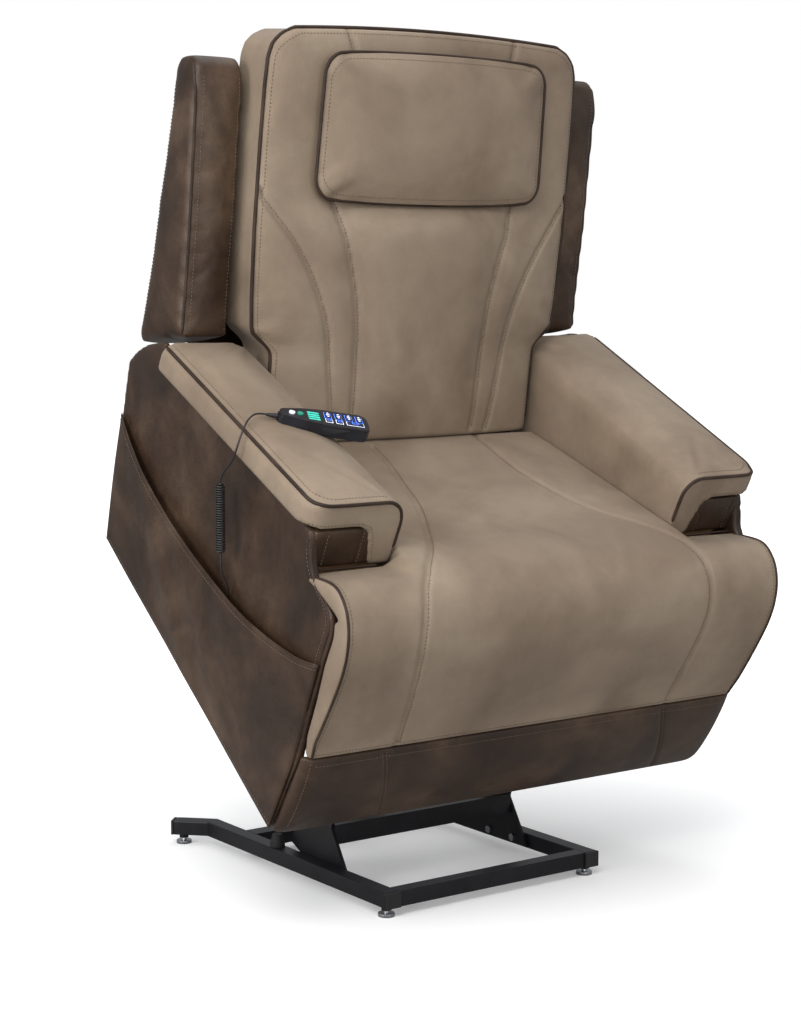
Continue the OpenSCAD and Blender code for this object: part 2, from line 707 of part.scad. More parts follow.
base_rails();
base_cross_tubes();
rail_end_caps();
base_towers();
levelling_feet();
foot_collars();
rest_bumpers();
base_bolts();
power_box();
base_pivot_pins();
lift_arms();
stay_links();
lift_motor();
lift_ram();
lift_frame();
seat_frame();
seat_springs();
carriage_pivot_pins();
side_panel_left();
side_panel_right();
arm_box_left();
arm_box_right();
arm_pad_left();
arm_pad_right();
arm_fronts();
side_pocket();
seat_cushion();
corner_brackets();
back_frame();
back_cushion();
wing_left();
wing_right();
back_panel();
headrest_board();
headrest_pillow();
recline_motor();
recline_ram();
legrest_board();
legrest_pad();
toe_panel();
legrest_drive_arms();
legrest_push_links();
legrest_motor();
legrest_ram();
handset_shell();
indicator_bars();
light_key();
power_key();
back_rocker();
headrest_rocker();
legrest_rocker();
lift_rocker();
memory_key_one();
memory_key_two();
home_key();
cord_grip();
cord_upper();
cord_curls();
cord_tail();
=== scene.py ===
"""Raised lift recliner chair: covers, seams, piping, hand control and materials round the CAD frame."""

import math

import bmesh
import bpy
import numpy as np
from mathutils import Matrix, Vector
from mathutils.bvhtree import BVHTree


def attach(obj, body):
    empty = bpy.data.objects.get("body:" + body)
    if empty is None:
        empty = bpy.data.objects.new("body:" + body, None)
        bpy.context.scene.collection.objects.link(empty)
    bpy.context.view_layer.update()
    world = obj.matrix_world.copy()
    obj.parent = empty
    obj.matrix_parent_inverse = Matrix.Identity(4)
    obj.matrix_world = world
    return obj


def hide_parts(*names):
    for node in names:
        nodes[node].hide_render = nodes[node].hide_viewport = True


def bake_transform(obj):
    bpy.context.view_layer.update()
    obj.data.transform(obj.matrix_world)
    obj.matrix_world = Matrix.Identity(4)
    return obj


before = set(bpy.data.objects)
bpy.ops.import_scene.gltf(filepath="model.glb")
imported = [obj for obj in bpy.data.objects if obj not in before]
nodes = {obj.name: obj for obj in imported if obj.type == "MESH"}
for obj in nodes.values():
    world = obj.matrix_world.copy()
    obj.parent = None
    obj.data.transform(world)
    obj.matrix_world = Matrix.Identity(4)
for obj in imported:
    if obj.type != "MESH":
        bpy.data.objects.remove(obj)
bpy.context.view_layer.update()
scene = bpy.context.scene

MM = 0.001
ORIGIN_Y = 211
LIFT_TILT = 27
BACK_LEAN = 19.5


def turned(axis, degrees):
    return Matrix.Rotation(math.radians(degrees), 4, axis)


# The seated chair's own axes (millimetres, y rearwards, z up) placed in the row frame
CHAIR = Matrix.Translation((0, (50 - ORIGIN_Y) * MM, 0.180)) @ turned("X", LIFT_TILT)
# The back's axes: y out of its rear, z up along it, from the recline pivot
BACK = CHAIR @ Matrix.Translation((0, 0.520, 0.390)) @ turned("X", -BACK_LEAN)
HANDSET = CHAIR @ Matrix.Translation((-0.347, 0.275, 0.6043)) @ turned("Z", -21)
# Half the width over the side panels
HALF_W = 470

# ---------------------------------------------------------------- camera

camera_data = bpy.data.cameras.new("camera")
camera = bpy.data.objects.new("camera", camera_data)
scene.collection.objects.link(camera)
camera.location = (-2.307, -2.921 - ORIGIN_Y * MM, 1.100)
camera.rotation_euler = (math.radians(90 - 6.317), 0, math.radians(-35.8))
camera_data.lens = 75.88
camera_data.sensor_width = 36
scene.camera = camera
scene.view_settings.view_transform = "Standard"
scene.view_settings.look = "None"

# ---------------------------------------------------------------- materials


def shader(name):
    material = bpy.data.materials.new(name)
    material.use_nodes = True
    tree = material.node_tree
    return material, tree, tree.nodes["Principled BSDF"]


def node(tree, kind, **values):
    made = tree.nodes.new(kind)
    for key, value in values.items():
        if key in made.inputs:
            made.inputs[key].default_value = value
        else:
            setattr(made, key, value)
    return made


def srgb(r, g, b):
    return tuple(((c / 255 + 0.055) / 1.055) ** 2.4 if c > 10 else c / 3294.6 for c in (r, g, b)) + (1.0,)


def textured(tree, place, kind, **values):
    made = node(tree, kind, **values)
    tree.links.new(place, made.inputs["Vector"])
    return made


def relief(tree, height, strength, depth):
    made = node(tree, "ShaderNodeBump", Strength=strength, Distance=depth)
    tree.links.new(height, made.inputs["Height"])
    return made


def ramp(tree, source, stops):
    made = tree.nodes.new("ShaderNodeValToRGB")
    tree.links.new(source, made.inputs["Fac"])
    elements = made.color_ramp.elements
    while len(elements) < len(stops):
        elements.new(0.5)
    for element, (place, colour) in zip(elements, stops):
        element.position = place
        element.color = colour
    return made


def to_range(tree, source, low, high):
    made = tree.nodes.new("ShaderNodeMapRange")
    tree.links.new(source, made.inputs["Value"])
    made.inputs["To Min"].default_value = low
    made.inputs["To Max"].default_value = high
    return made.outputs["Result"]


def leather(name, tones, cloud, rough, grain, bump, sheen=0.0, shine=0.5, worn=0.07):
    """Mottled hide: three tones in soft clouds, pebbled grain, and roughness that follows the clouds."""
    material, tree, bsdf = shader(name)
    link = tree.links.new
    place = tree.nodes.new("ShaderNodeTexCoord").outputs["Object"]
    clouds = textured(tree, place, "ShaderNodeTexNoise", Scale=cloud, Detail=4.0, Roughness=0.5,
                      Distortion=0.5)
    low, mid, high = (srgb(*tone) for tone in tones)
    colour = ramp(tree, clouds.outputs["Fac"], [(0.30, low), (0.50, mid), (0.72, high)])
    fleck = textured(tree, place, "ShaderNodeTexNoise", Scale=cloud * 5, Detail=9.0, Roughness=0.75,
                     Distortion=0.3)
    mix = node(tree, "ShaderNodeMix", data_type="RGBA", blend_type="MULTIPLY")
    mix.inputs[0].default_value = 1.0
    link(colour.outputs["Color"], mix.inputs[6])
    darker, lighter = ((1 + change,) * 3 + (1,) for change in (-worn, worn))
    shade = ramp(tree, fleck.outputs["Fac"], [(0.34, darker), (0.66, lighter)])
    link(shade.outputs["Color"], mix.inputs[7])
    link(mix.outputs[2], bsdf.inputs["Base Color"])
    link(to_range(tree, clouds.outputs["Fac"], rough - 0.09, rough + 0.09), bsdf.inputs["Roughness"])
    pebble = textured(tree, place, "ShaderNodeTexVoronoi", Scale=grain, feature="SMOOTH_F1")
    fine = textured(tree, place, "ShaderNodeTexNoise", Scale=grain * 1.7, Detail=4.0, Roughness=0.6)
    both = node(tree, "ShaderNodeMath", operation="ADD")
    link(pebble.outputs["Distance"], both.inputs[0])
    link(fine.outputs["Fac"], both.inputs[1])
    grains = relief(tree, both.outputs[0], bump, 0.0006)
    waves = relief(tree, clouds.outputs["Fac"], 0.25, 0.004)
    link(grains.outputs["Normal"], waves.inputs["Normal"])
    link(waves.outputs["Normal"], bsdf.inputs["Normal"])
    bsdf.inputs["Specular IOR Level"].default_value = shine
    if sheen:
        bsdf.inputs["Sheen Weight"].default_value = sheen
        bsdf.inputs["Sheen Roughness"].default_value = 0.45
    return material


def hard(name, tones, rough, metal=0.0, speck=60.0, bump=0.08, glow=0.0):
    """Paint, plate, plastic or rubber: two close tones, uneven roughness and a faint surface texture."""
    material, tree, bsdf = shader(name)
    link = tree.links.new
    place = tree.nodes.new("ShaderNodeTexCoord").outputs["Object"]
    patches = textured(tree, place, "ShaderNodeTexNoise", Scale=speck, Detail=4.0, Roughness=0.6)
    colour = ramp(tree, patches.outputs["Fac"], [(0.35, srgb(*tones[0])), (0.65, srgb(*tones[1]))])
    link(colour.outputs["Color"], bsdf.inputs["Base Color"])
    link(to_range(tree, patches.outputs["Fac"], rough - 0.06, rough + 0.06), bsdf.inputs["Roughness"])
    bsdf.inputs["Metallic"].default_value = metal
    grit = textured(tree, place, "ShaderNodeTexNoise", Scale=speck * 22, Detail=3.0)
    link(relief(tree, grit.outputs["Fac"], bump, 0.0004).outputs["Normal"], bsdf.inputs["Normal"])
    if glow:
        link(colour.outputs["Color"], bsdf.inputs["Emission Color"])
        bsdf.inputs["Emission Strength"].default_value = glow
    return material


def wood(name, light, dark):
    material, tree, bsdf = shader(name)
    link = tree.links.new
    place = tree.nodes.new("ShaderNodeTexCoord").outputs["Object"]
    stretch = textured(tree, place, "ShaderNodeMapping", Scale=(3.0, 24.0, 24.0))
    rings = textured(tree, stretch.outputs["Vector"], "ShaderNodeTexNoise", Scale=3.0, Detail=7.0,
                     Roughness=0.65, Distortion=1.6)
    colour = ramp(tree, rings.outputs["Fac"], [(0.3, srgb(*dark)), (0.7, srgb(*light))])
    link(colour.outputs["Color"], bsdf.inputs["Base Color"])
    link(to_range(tree, rings.outputs["Fac"], 0.55, 0.75), bsdf.inputs["Roughness"])
    link(relief(tree, rings.outputs["Fac"], 0.2, 0.0005).outputs["Normal"], bsdf.inputs["Normal"])
    return material


TAUPE = leather("taupe_leather", ((114, 98, 82), (129, 113, 96), (143, 128, 110)),
                5.0, 0.62, 620.0, 0.35, sheen=0.06, shine=0.35)
DARK = leather("dark_leather", ((38, 26, 18), (56, 41, 30), (80, 63, 49)),
               7.0, 0.40, 520.0, 0.45, shine=0.32, worn=0.22)
PIPING = leather("piping_leather", ((38, 28, 22), (50, 38, 31), (64, 50, 41)),
                 14.0, 0.5, 900.0, 0.3, shine=0.2)
THREAD = hard("taupe_thread", ((92, 76, 62), (110, 93, 77)), 0.7, speck=300)
DARK_THREAD = hard("dark_thread", ((88, 73, 62), (106, 90, 78)), 0.7, speck=300)
BLACK_STEEL = hard("black_steel", ((17, 17, 21), (28, 28, 33)), 0.42, metal=0.35, speck=18, bump=0.15)
ZINC = hard("zinc_steel", ((150, 152, 156), (190, 191, 194)), 0.32, metal=1.0, speck=40)
SPRING = hard("spring_steel", ((90, 92, 96), (130, 131, 134)), 0.35, metal=1.0, speck=70)
BLACK_PLASTIC = hard("black_plastic", ((16, 16, 17), (28, 28, 30)), 0.5, speck=30, bump=0.2)
RUBBER = hard("foot_rubber", ((14, 14, 15), (24, 24, 25)), 0.75, speck=50, bump=0.3)
PLY = wood("plywood", (196, 158, 112), (150, 112, 74))
# Near-black cloth for hidden linings; where it fills the gaps behind the seat and under the back cushion it
# is painted shade.
LINING_AND_SHADE = hard("lining_cloth", ((26, 24, 23), (38, 35, 33)), 0.9, speck=120, bump=0.6)
SHELL = hard("handset_plastic", ((17, 18, 24), (27, 29, 37)), 0.36, speck=26, bump=0.15)
WHITE_KEY = hard("key_white", ((205, 210, 222), (226, 230, 240)), 0.4, speck=90, glow=0.25)
GREEN_KEY = hard("key_green", ((24, 120, 98), (40, 150, 122)), 0.4, speck=90, glow=0.2)
BLUE_KEY = hard("key_blue", ((20, 24, 52), (32, 38, 78)), 0.35, speck=90)
TEAL = hard("indicator_teal", ((40, 168, 150), (70, 200, 178)), 0.4, speck=90, glow=0.6)
BLUE_GLOW = hard("key_edge_glow", ((60, 110, 240), (96, 146, 255)), 0.4, speck=90, glow=1.2)
WHITE_GLOW = hard("key_mark_glow", ((214, 226, 255), (240, 245, 255)), 0.4, speck=90, glow=0.9)
CORD = hard("cord_rubber", ((15, 15, 16), (26, 26, 28)), 0.45, speck=80, bump=0.2)

KEYS = "back_rocker headrest_rocker legrest_rocker lift_rocker memory_key_one memory_key_two home_key"
FINISHES = (
    (BLACK_STEEL, "base_rails base_cross_tubes base_towers foot_collars lift_arms stay_links lift_frame "
                  "legrest_drive_arms legrest_push_links"),
    (BLACK_PLASTIC, "rail_end_caps power_box lift_motor recline_motor legrest_motor"),
    (ZINC, "levelling_feet base_bolts base_pivot_pins carriage_pivot_pins lift_ram recline_ram legrest_ram "
           "corner_brackets"),
    (PLY, "seat_frame arm_box_left arm_box_right back_frame headrest_board legrest_board"),
    (RUBBER, "rest_bumpers"), (SPRING, "seat_springs"), (CORD, "cord_grip"), (SHELL, "handset_shell"),
    (TEAL, "indicator_bars"), (WHITE_KEY, "light_key"), (GREEN_KEY, "power_key"), (BLUE_KEY, KEYS),
)
# Rounding of the edges in millimetres
BEVELS = (
    (3.0, "base_rails"), (2.5, "power_box"), (2.2, "handset_shell"), (2.0, "base_cross_tubes"),
    (1.5, "levelling_feet legrest_board"), (1.2, "lift_motor recline_motor legrest_motor"),
    (1.0, "rail_end_caps rest_bumpers seat_frame back_frame"), (0.9, KEYS),
    (0.8, "base_towers foot_collars lift_arms stay_links lift_frame legrest_drive_arms legrest_push_links "
          "light_key power_key"),
    (0.4, "corner_brackets"), (0.3, "indicator_bars"),
)


def finish_nodes():
    for material, names in FINISHES:
        for name in names.split():
            data = nodes[name].data
            data.materials.clear()
            data.materials.append(material)
            for face in data.polygons:
                face.material_index = 0
    for width, names in BEVELS:
        for name in names.split():
            weld = nodes[name].modifiers.new("weld", "WELD")
            weld.merge_threshold = 0.00002
            bevel = nodes[name].modifiers.new("bevel", "BEVEL")
            bevel.width = width * MM
            bevel.segments = 2
            bevel.limit_method = "ANGLE"
            bevel.angle_limit = math.radians(50)
            bevel.use_clamp_overlap = True


# ---------------------------------------------------------------- mesh helpers

LEFTWARD, RIGHTWARD, REARWARD, FORWARD, DOWNWARD = (1, 0, 0), (-1, 0, 0), (0, 1, 0), (0, -1, 0), (0, 0, -1)
# Millimetres: how far threads stand off the leather, the spacing of points along seams and pipings,
# a place outside the side panels, and how far outside a piece a drop onto its side starts
STITCH_LIFT = 0.25
STEP = 6
OUTSIDE = 520
SIDE_START = 30
# Share of its radius that a piping keeps at its ends
END_TAPER = 0.45
# Frames that each cloth runs for
CLOTH_FRAMES = 20


def mesh_object(name, points, faces, matrix, material, smooth=True):
    """A mesh from points in millimetres in the axes that matrix places."""
    data = bpy.data.meshes.new(name)
    data.from_pydata([tuple(p) for p in np.asarray(points, float) * MM], [], [tuple(f) for f in faces])
    data.transform(matrix)
    data.validate()
    made = bpy.data.objects.new(name, data)
    scene.collection.objects.link(made)
    data.materials.append(material)
    fix = bmesh.new()
    fix.from_mesh(data)
    bmesh.ops.remove_doubles(fix, verts=fix.verts, dist=1e-6)
    bmesh.ops.recalc_face_normals(fix, faces=fix.faces)
    fix.to_mesh(data)
    fix.free()
    data.polygons.foreach_set("use_smooth", [smooth] * len(data.polygons))
    return made


def points_of(made):
    flat = np.zeros(len(made.data.vertices) * 3)
    made.data.vertices.foreach_get("co", flat)
    return flat.reshape(-1, 3)


def set_points(made, points):
    made.data.vertices.foreach_set("co", np.asarray(points, np.float32).ravel())
    made.data.update()


def into(matrix, points):
    """Row-frame metres from local millimetres."""
    array = np.array(matrix)
    return np.asarray(points, float) * MM @ array[:3, :3].T + array[:3, 3]


def out_of(matrix, points):
    """Local millimetres from row-frame metres."""
    array = np.array(matrix.inverted())
    return (np.asarray(points, float) @ array[:3, :3].T + array[:3, 3]) / MM


def apply_modifiers(made):
    graph = bpy.context.evaluated_depsgraph_get()
    baked = bpy.data.meshes.new_from_object(made.evaluated_get(graph))
    made.modifiers.clear()
    old = made.data
    made.data = baked
    bpy.data.meshes.remove(old)
    made.data.polygons.foreach_set("use_smooth", [True] * len(made.data.polygons))


def remesh(made, voxel):
    """An even mesh over the same closed form."""
    modifier = made.modifiers.new("even", "REMESH")
    modifier.mode = "VOXEL"
    modifier.voxel_size = voxel * MM
    apply_modifiers(made)


def smooth(made, rounds):
    modifier = made.modifiers.new("smooth", "SMOOTH")
    modifier.factor = 0.5
    modifier.iterations = rounds
    apply_modifiers(made)


def subdivide(made):
    modifier = made.modifiers.new("fine", "SUBSURF")
    modifier.levels = modifier.render_levels = 1
    apply_modifiers(made)


def inflate(made, cap, pressure=4.0, pinned=None, share=None):
    """Cloth under pressure with gravity off; each point then moves at most cap, times its share."""
    before = points_of(made).copy()
    cloth = made.modifiers.new("cloth", "CLOTH")
    settings = cloth.settings
    settings.use_pressure = True
    settings.uniform_pressure_force = pressure
    settings.effector_weights.gravity = 0
    settings.tension_stiffness = settings.compression_stiffness = 15.0
    settings.quality = 4
    cloth.collision_settings.use_collision = False
    cloth.point_cache.frame_start = 1
    cloth.point_cache.frame_end = CLOTH_FRAMES
    if pinned is not None:
        group = made.vertex_groups.new(name="pinned")
        group.add([int(i) for i in np.flatnonzero(pinned)], 1.0, "REPLACE")
        settings.vertex_group_mass = "pinned"
    for step in range(1, CLOTH_FRAMES + 1):
        scene.frame_set(step)
    graph = bpy.context.evaluated_depsgraph_get()
    after = np.array([v.co for v in made.evaluated_get(graph).data.vertices])
    made.modifiers.clear()
    made.vertex_groups.clear()
    scene.frame_set(1)
    move = after - before
    size = np.linalg.norm(move, axis=1, keepdims=True)
    limit = cap * MM
    move *= limit * np.tanh(size / limit) / np.maximum(size, 1e-9)
    if share is not None:
        move *= share[:, None]
    set_points(made, before + move)


def lengths_along(line):
    return np.r_[0, np.cumsum(np.linalg.norm(np.diff(line, axis=0), axis=1))]


def along(line, share):
    """The point or points of a polyline at a share of its length."""
    lengths = lengths_along(line)
    return np.stack([np.interp(share * lengths[-1], lengths, line[:, k]) for k in (0, 1)], -1)


def resample(line, step):
    """Points every step along a polyline."""
    line = np.asarray(line, float)
    lengths = lengths_along(line)
    count = max(2, int(round(lengths[-1] / step)) + 1)
    wanted = np.linspace(0, lengths[-1], count)
    return np.stack([np.interp(wanted, lengths, line[:, k]) for k in range(line.shape[1])], 1)


def curve_through(points, step):
    """A smooth line through control points (Catmull-Rom), then evened out."""
    points = np.asarray(points, float)
    ends = np.vstack([2 * points[0] - points[1], points, 2 * points[-1] - points[-2]])
    line = []
    for i in range(1, len(ends) - 2):
        a, b, c, d = ends[i - 1:i + 3]
        for t in np.linspace(0, 1, 12, endpoint=False):
            line.append(0.5 * (2 * b + (c - a) * t + (2 * a - 5 * b + 4 * c - d) * t * t
                               + (3 * b - a - 3 * c + d) * t ** 3))
    line.append(points[-1])
    return resample(line, step)


def table(stops, at):
    xs, ys = zip(*stops)
    return np.interp(at, xs, ys)


def ease(t):
    t = np.clip(t, 0, 1)
    return t * t * (3 - 2 * t)


def bunched(count, bunching):
    """Shares from -1 to 1 that lie closer together towards both ends."""
    quarter = math.pi / 2 * bunching
    return np.sin(np.linspace(-1, 1, count) * quarter) / math.sin(quarter)


def at_depth(line, y):
    """A flat line (across, up) at one depth."""
    return np.c_[line[:, 0], np.full(len(line), float(y)), line[:, 1]]


def at_side(line, x):
    """A flat line (depth, up) at one distance to the side."""
    return np.c_[np.full(len(line), float(x)), line]


def distance_to(points, line):
    """Distance of each point to a polyline."""
    best = np.full(len(points), np.inf)
    for a, b in zip(line[:-1], line[1:]):
        run = b - a
        t = np.clip((points - a) @ run / max(run @ run, 1e-12), 0, 1)
        best = np.minimum(best, np.linalg.norm(points - a - t[:, None] * run, axis=1))
    return best


def tree_of(made):
    made.data.update()
    corners = [tuple(v.co) for v in made.data.vertices]
    return BVHTree.FromPolygons(corners, [tuple(f.vertices) for f in made.data.polygons])


def nearest_on(tree, points, lift=STITCH_LIFT):
    """The surface points nearest to row-frame points, lifted along their normals, and those normals."""
    spots, normals = [], []
    for p in points:
        hit, normal, _, _ = tree.find_nearest(Vector(p))
        spots.append(np.array(hit + normal * lift * MM))
        normals.append(np.array(normal))
    return np.array(spots), np.array(normals)


def lay_on(tree, matrix, line, toward, lift=STITCH_LIFT, start=200):
    """A local line dropped onto a surface in the local direction toward: row-frame points and normals."""
    way = (matrix.to_3x3() @ Vector(toward)).normalized()
    spots, normals = [], []
    for p in into(matrix, line):
        origin = Vector(p) - way * start * MM
        hit, normal, _, _ = tree.ray_cast(origin, way)
        if hit is None:
            hit, normal, _, _ = tree.find_nearest(Vector(p))
        if normal.dot(way) > 0:
            normal = -normal
        spots.append(np.array(hit + normal * lift * MM))
        normals.append(np.array(normal))
    return np.array(spots), np.array(normals)


def press(made, line, depth, width):
    """A seam channel: points near the row-frame line sink along their normals."""
    points = points_of(made)
    flat = np.zeros(len(points) * 3)
    made.data.vertex_normals.foreach_get("vector", flat)
    near = distance_to(points, line)
    amount = depth * MM * np.exp(-(near / (width * MM)) ** 2)
    set_points(made, points - flat.reshape(-1, 3) * amount[:, None])


def tube(name, line, radius, material=PIPING, closed=False):
    """A round welt of eight sides swept along row-frame points; its ends taper shut."""
    sides = 8
    line = np.asarray(line, float)
    count = len(line)
    if closed:
        ahead = np.roll(line, -1, 0) - np.roll(line, 1, 0)
    else:
        ahead = np.gradient(line, axis=0)
    ahead /= np.maximum(np.linalg.norm(ahead, axis=1, keepdims=True), 1e-9)
    side = np.cross(ahead[0], [0.31, 0.47, 0.83])
    rings = []
    for i in range(count):
        side = side - ahead[i] * (side @ ahead[i])
        side /= np.linalg.norm(side)
        other = np.cross(ahead[i], side)
        r = radius * MM
        if not closed and i in (0, count - 1):
            r *= END_TAPER
        angles = np.arange(sides) * 2 * math.pi / sides
        rings.append(line[i] + r * (np.cos(angles)[:, None] * side + np.sin(angles)[:, None] * other))
    points = np.vstack(rings)
    faces = []
    last = count if closed else count - 1
    for i in range(last):
        j = (i + 1) % count
        for k in range(sides):
            m = (k + 1) % sides
            faces.append((i * sides + k, i * sides + m, j * sides + m, j * sides + k))
    if not closed:
        faces.append(tuple(range(sides))[::-1])
        faces.append(tuple((count - 1) * sides + k for k in range(sides)))
    return mesh_object(name, points / MM, faces, Matrix.Identity(4), material)


def stitch_parts(line, normals):
    """Thread dashes as small six-sided lozenges along row-frame points."""
    pitch, length, width, height = 6.5, 3.8, 1.5, 1.1
    points, faces = [], []
    lengths = lengths_along(line)
    count = int(lengths[-1] / (pitch * MM))
    for n in range(count):
        at = (n + 0.5) * pitch * MM
        i = min(len(line) - 2, max(0, np.searchsorted(lengths, at) - 1))
        gap = max(lengths[i + 1] - lengths[i], 1e-9)
        spot = line[i] + (line[i + 1] - line[i]) * (at - lengths[i]) / gap
        onward = (line[i + 1] - line[i]) / gap
        up = normals[i]
        across = np.cross(onward, up)
        base = len(points)
        for end, reach, rise in ((-1, 0.5, -0.2), (0, 0, 1), (1, 0.5, -0.2)):
            centre = spot + onward * end * reach * length * MM + up * (height * rise * 0.35) * MM
            half = width * (0.5 if end == 0 else 0.3)
            thick = height * (0.55 if end == 0 else 0.3)
            for angle in range(6):
                turn = angle * math.pi / 3
                points.append(centre + (across * math.cos(turn) * half + up * math.sin(turn) * thick) * MM)
        for ring_at in (0, 1):
            for k in range(6):
                m = (k + 1) % 6
                low = base + ring_at * 6
                faces.append((low + k, low + m, low + 6 + m, low + 6 + k))
        faces.append(tuple(base + k for k in range(5, -1, -1)))
        faces.append(tuple(base + 12 + k for k in range(6)))
    return points, faces


def merged(parts):
    """Several (points, faces) as one."""
    points, faces = [], []
    for more, patches in parts:
        shift = len(points)
        points += more
        faces += [tuple(i + shift for i in f) for f in patches]
    return points, faces


def stitches(name, runs, material):
    """One mesh of thread dashes along several (points, normals) runs."""
    points, faces = merged(stitch_parts(*run) for run in runs)
    return mesh_object(name, np.array(points) / MM, faces, Matrix.Identity(4), material)


def mirrored(made):
    """A copy of a left piece flipped across the chair's middle plane."""
    twin = made.copy()
    twin.data = made.data.copy()
    twin.name = made.name.replace("left", "right")
    scene.collection.objects.link(twin)
    twin.data.transform(Matrix.Scale(-1, 4, (1, 0, 0)))
    twin.data.flip_normals()
    return twin


def grid_pad(name, top, under, matrix, material, wall_rows, bulge, keep=None):
    """A closed pad between two grids of points, over the cells that keep marks; its boxing bulges a little.
    Also marks which vertices may not move under pressure: all but the top's inner ones."""
    rows, cols = top.shape[:2]
    if keep is None:
        keep = np.ones((rows - 1, cols - 1), bool)
    index = {}
    points, faces = [], []

    def corner(level, i, j):
        key = (level, i, j)
        if key not in index:
            index[key] = len(points)
            points.append((top if level == "t" else under)[i, j])
        return index[key]

    edges = {}
    for i in range(rows - 1):
        for j in range(cols - 1):
            if not keep[i, j]:
                continue
            loop = [(i, j), (i, j + 1), (i + 1, j + 1), (i + 1, j)]
            faces.append([corner("t", *p) for p in loop])
            faces.append([corner("u", *p) for p in reversed(loop)])
            for a, b in zip(loop, loop[1:] + loop[:1]):
                if (b, a) in edges:
                    del edges[(b, a)]
                else:
                    edges[(a, b)] = True
    rim = sorted({p for edge in edges for p in edge})
    following = {}
    for a, b in edges:
        following.setdefault(a, []).append(b)
    outward = {}
    for a, b in edges:
        run = np.asarray(top[b]) - np.asarray(top[a])
        drop = np.asarray(under[a]) - np.asarray(top[a])
        push = np.cross(run, drop)
        push = push / max(np.linalg.norm(push), 1e-9)
        for p in (a, b):
            outward[p] = outward.get(p, 0) + push
    walls = {}
    for p in rim:
        push = outward[p] / max(np.linalg.norm(outward[p]), 1e-9)
        column = [corner("t", *p)]
        for k in range(1, wall_rows + 1):
            t = k / (wall_rows + 1)
            place = np.asarray(top[p]) * (1 - t) + np.asarray(under[p]) * t
            points.append(place + push * bulge * math.sin(math.pi * t))
            column.append(len(points) - 1)
        column.append(corner("u", *p))
        walls[p] = column
    for a, b in edges:
        for k in range(wall_rows + 1):
            faces.append([walls[a][k], walls[a][k + 1], walls[b][k + 1], walls[b][k]])
    made = mesh_object(name, points, faces, matrix, material)
    pinned = np.ones(len(made.data.vertices), bool)
    if len(pinned) == len(points):
        for (level, i, j), n in index.items():
            pinned[n] = level != "t" or (i, j) in outward
    return made, pinned


def prism(name, outline, x0, x1, matrix, material):
    """A side profile (y, z) made solid between x0 and x1."""
    outline = [tuple(p) for p in outline]
    count = len(outline)
    points = [(x0, *p) for p in outline] + [(x1, *p) for p in outline]
    faces = [tuple(range(count)), tuple(range(2 * count - 1, count - 1, -1))]
    faces += [(i, (i + 1) % count, count + (i + 1) % count, count + i) for i in range(count)]
    return mesh_object(name, points, faces, matrix, material)


def soften_edges(made, width):
    modifier = made.modifiers.new("round", "BEVEL")
    modifier.width = width * MM
    modifier.segments = 3
    modifier.limit_method = "ANGLE"
    modifier.angle_limit = math.radians(35)
    apply_modifiers(made)
    made.data.set_sharp_from_angle(angle=math.radians(40))


def pieces_ride(parts, body):
    for made in parts:
        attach(made, body)


# ---------------------------------------------------------------- cord

# The wire's thickness and its route over the arm and inside the pocket, in the chair's millimetres
WIRE = 3.2
CORD_UPPER = [
    (-436.6, 309.4, 616), (-443, 311.3, 616.4), (-450, 312.3, 616.5), (-457, 311.6, 616), (-463.5, 309, 615),
    (-469.8, 305.4, 613.4), (-475.6, 301.2, 611.2), (-481, 296.4, 608.2), (-486, 291.3, 604.2),
    (-490.4, 287, 599), (-494, 283.2, 593), (-497, 280, 586.8), (-499.2, 277.6, 580), (-500.6, 276, 573),
    (-501.3, 275.6, 566), (-501.4, 276.2, 559), (-501.2, 278, 552), (-500.9, 280.6, 545.4),
    (-500.6, 283.8, 539), (-500.4, 287.2, 533), (-500.2, 290.4, 527.4), (-500, 293.6, 521),
    (-500, 296, 514.4), (-500, 297.4, 508), (-500, 297.6, 502), (-500, 297, 497)]
CORD_TAIL = [
    (-500, 243.43, 391.86), (-500, 240.2, 385.6), (-500, 237, 379.4), (-499.4, 234.3, 373),
    (-498.2, 232, 367), (-496.2, 230, 361), (-493.2, 228.2, 355), (-489.6, 226.8, 349.4),
    (-486, 225.8, 343.6), (-482.8, 224.8, 337.6), (-480.4, 224, 331.4), (-478.8, 223.4, 324.6),
    (-478, 222.8, 317.4), (-477.6, 222, 309.6), (-477.5, 221, 301.6), (-477.5, 219.4, 293.8)]
CURL_LENGTH, CURL_TURNS, CURL_R = 118, 30, 6.9
# Turns over which the curls widen and narrow at the ends
CURL_EASE = 1.5


def cord_line():
    """The wire's centreline: over the arm, round the hanging curls, then down into the pocket."""
    upper, tail = into(CHAIR, CORD_UPPER), into(CHAIR, CORD_TAIL)
    top = upper[-1]
    steps = CURL_TURNS * 16
    curls = []
    for i in range(1, steps):
        t = i / steps
        reach = CURL_R * MM * ease(min(t, 1 - t) * CURL_TURNS / CURL_EASE)
        turn = 2 * math.pi * CURL_TURNS * t
        curls.append(top + np.array([reach * math.cos(turn), reach * math.sin(turn), -CURL_LENGTH * MM * t]))
    return np.vstack([upper, curls, tail])


def build_cord():
    line = cord_line()
    data = bpy.data.curves.new("handset_cord", "CURVE")
    data.dimensions = "3D"
    data.bevel_depth = WIRE / 2 * MM
    data.bevel_resolution = 3
    data.use_fill_caps = True
    spline = data.splines.new("POLY")
    spline.points.add(len(line) - 1)
    spline.points.foreach_set("co", np.c_[line, np.ones(len(line))].ravel())
    cord = bpy.data.objects.new("handset_cord", data)
    scene.collection.objects.link(cord)
    data.materials.append(CORD)
    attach(cord, "carriage")
    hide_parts("cord_upper", "cord_curls", "cord_tail")


build_cord()
finish_nodes()


# ---------------------------------------------------------------- upholstery


# Half width of the back cushion by height
BACK_SIDE = [(44, 293), (200, 295), (214, 300), (228, 320), (242, 337), (300, 341), (420, 344), (560, 343),
             (660, 341), (710, 338), (732, 331), (748, 317), (760, 291)]
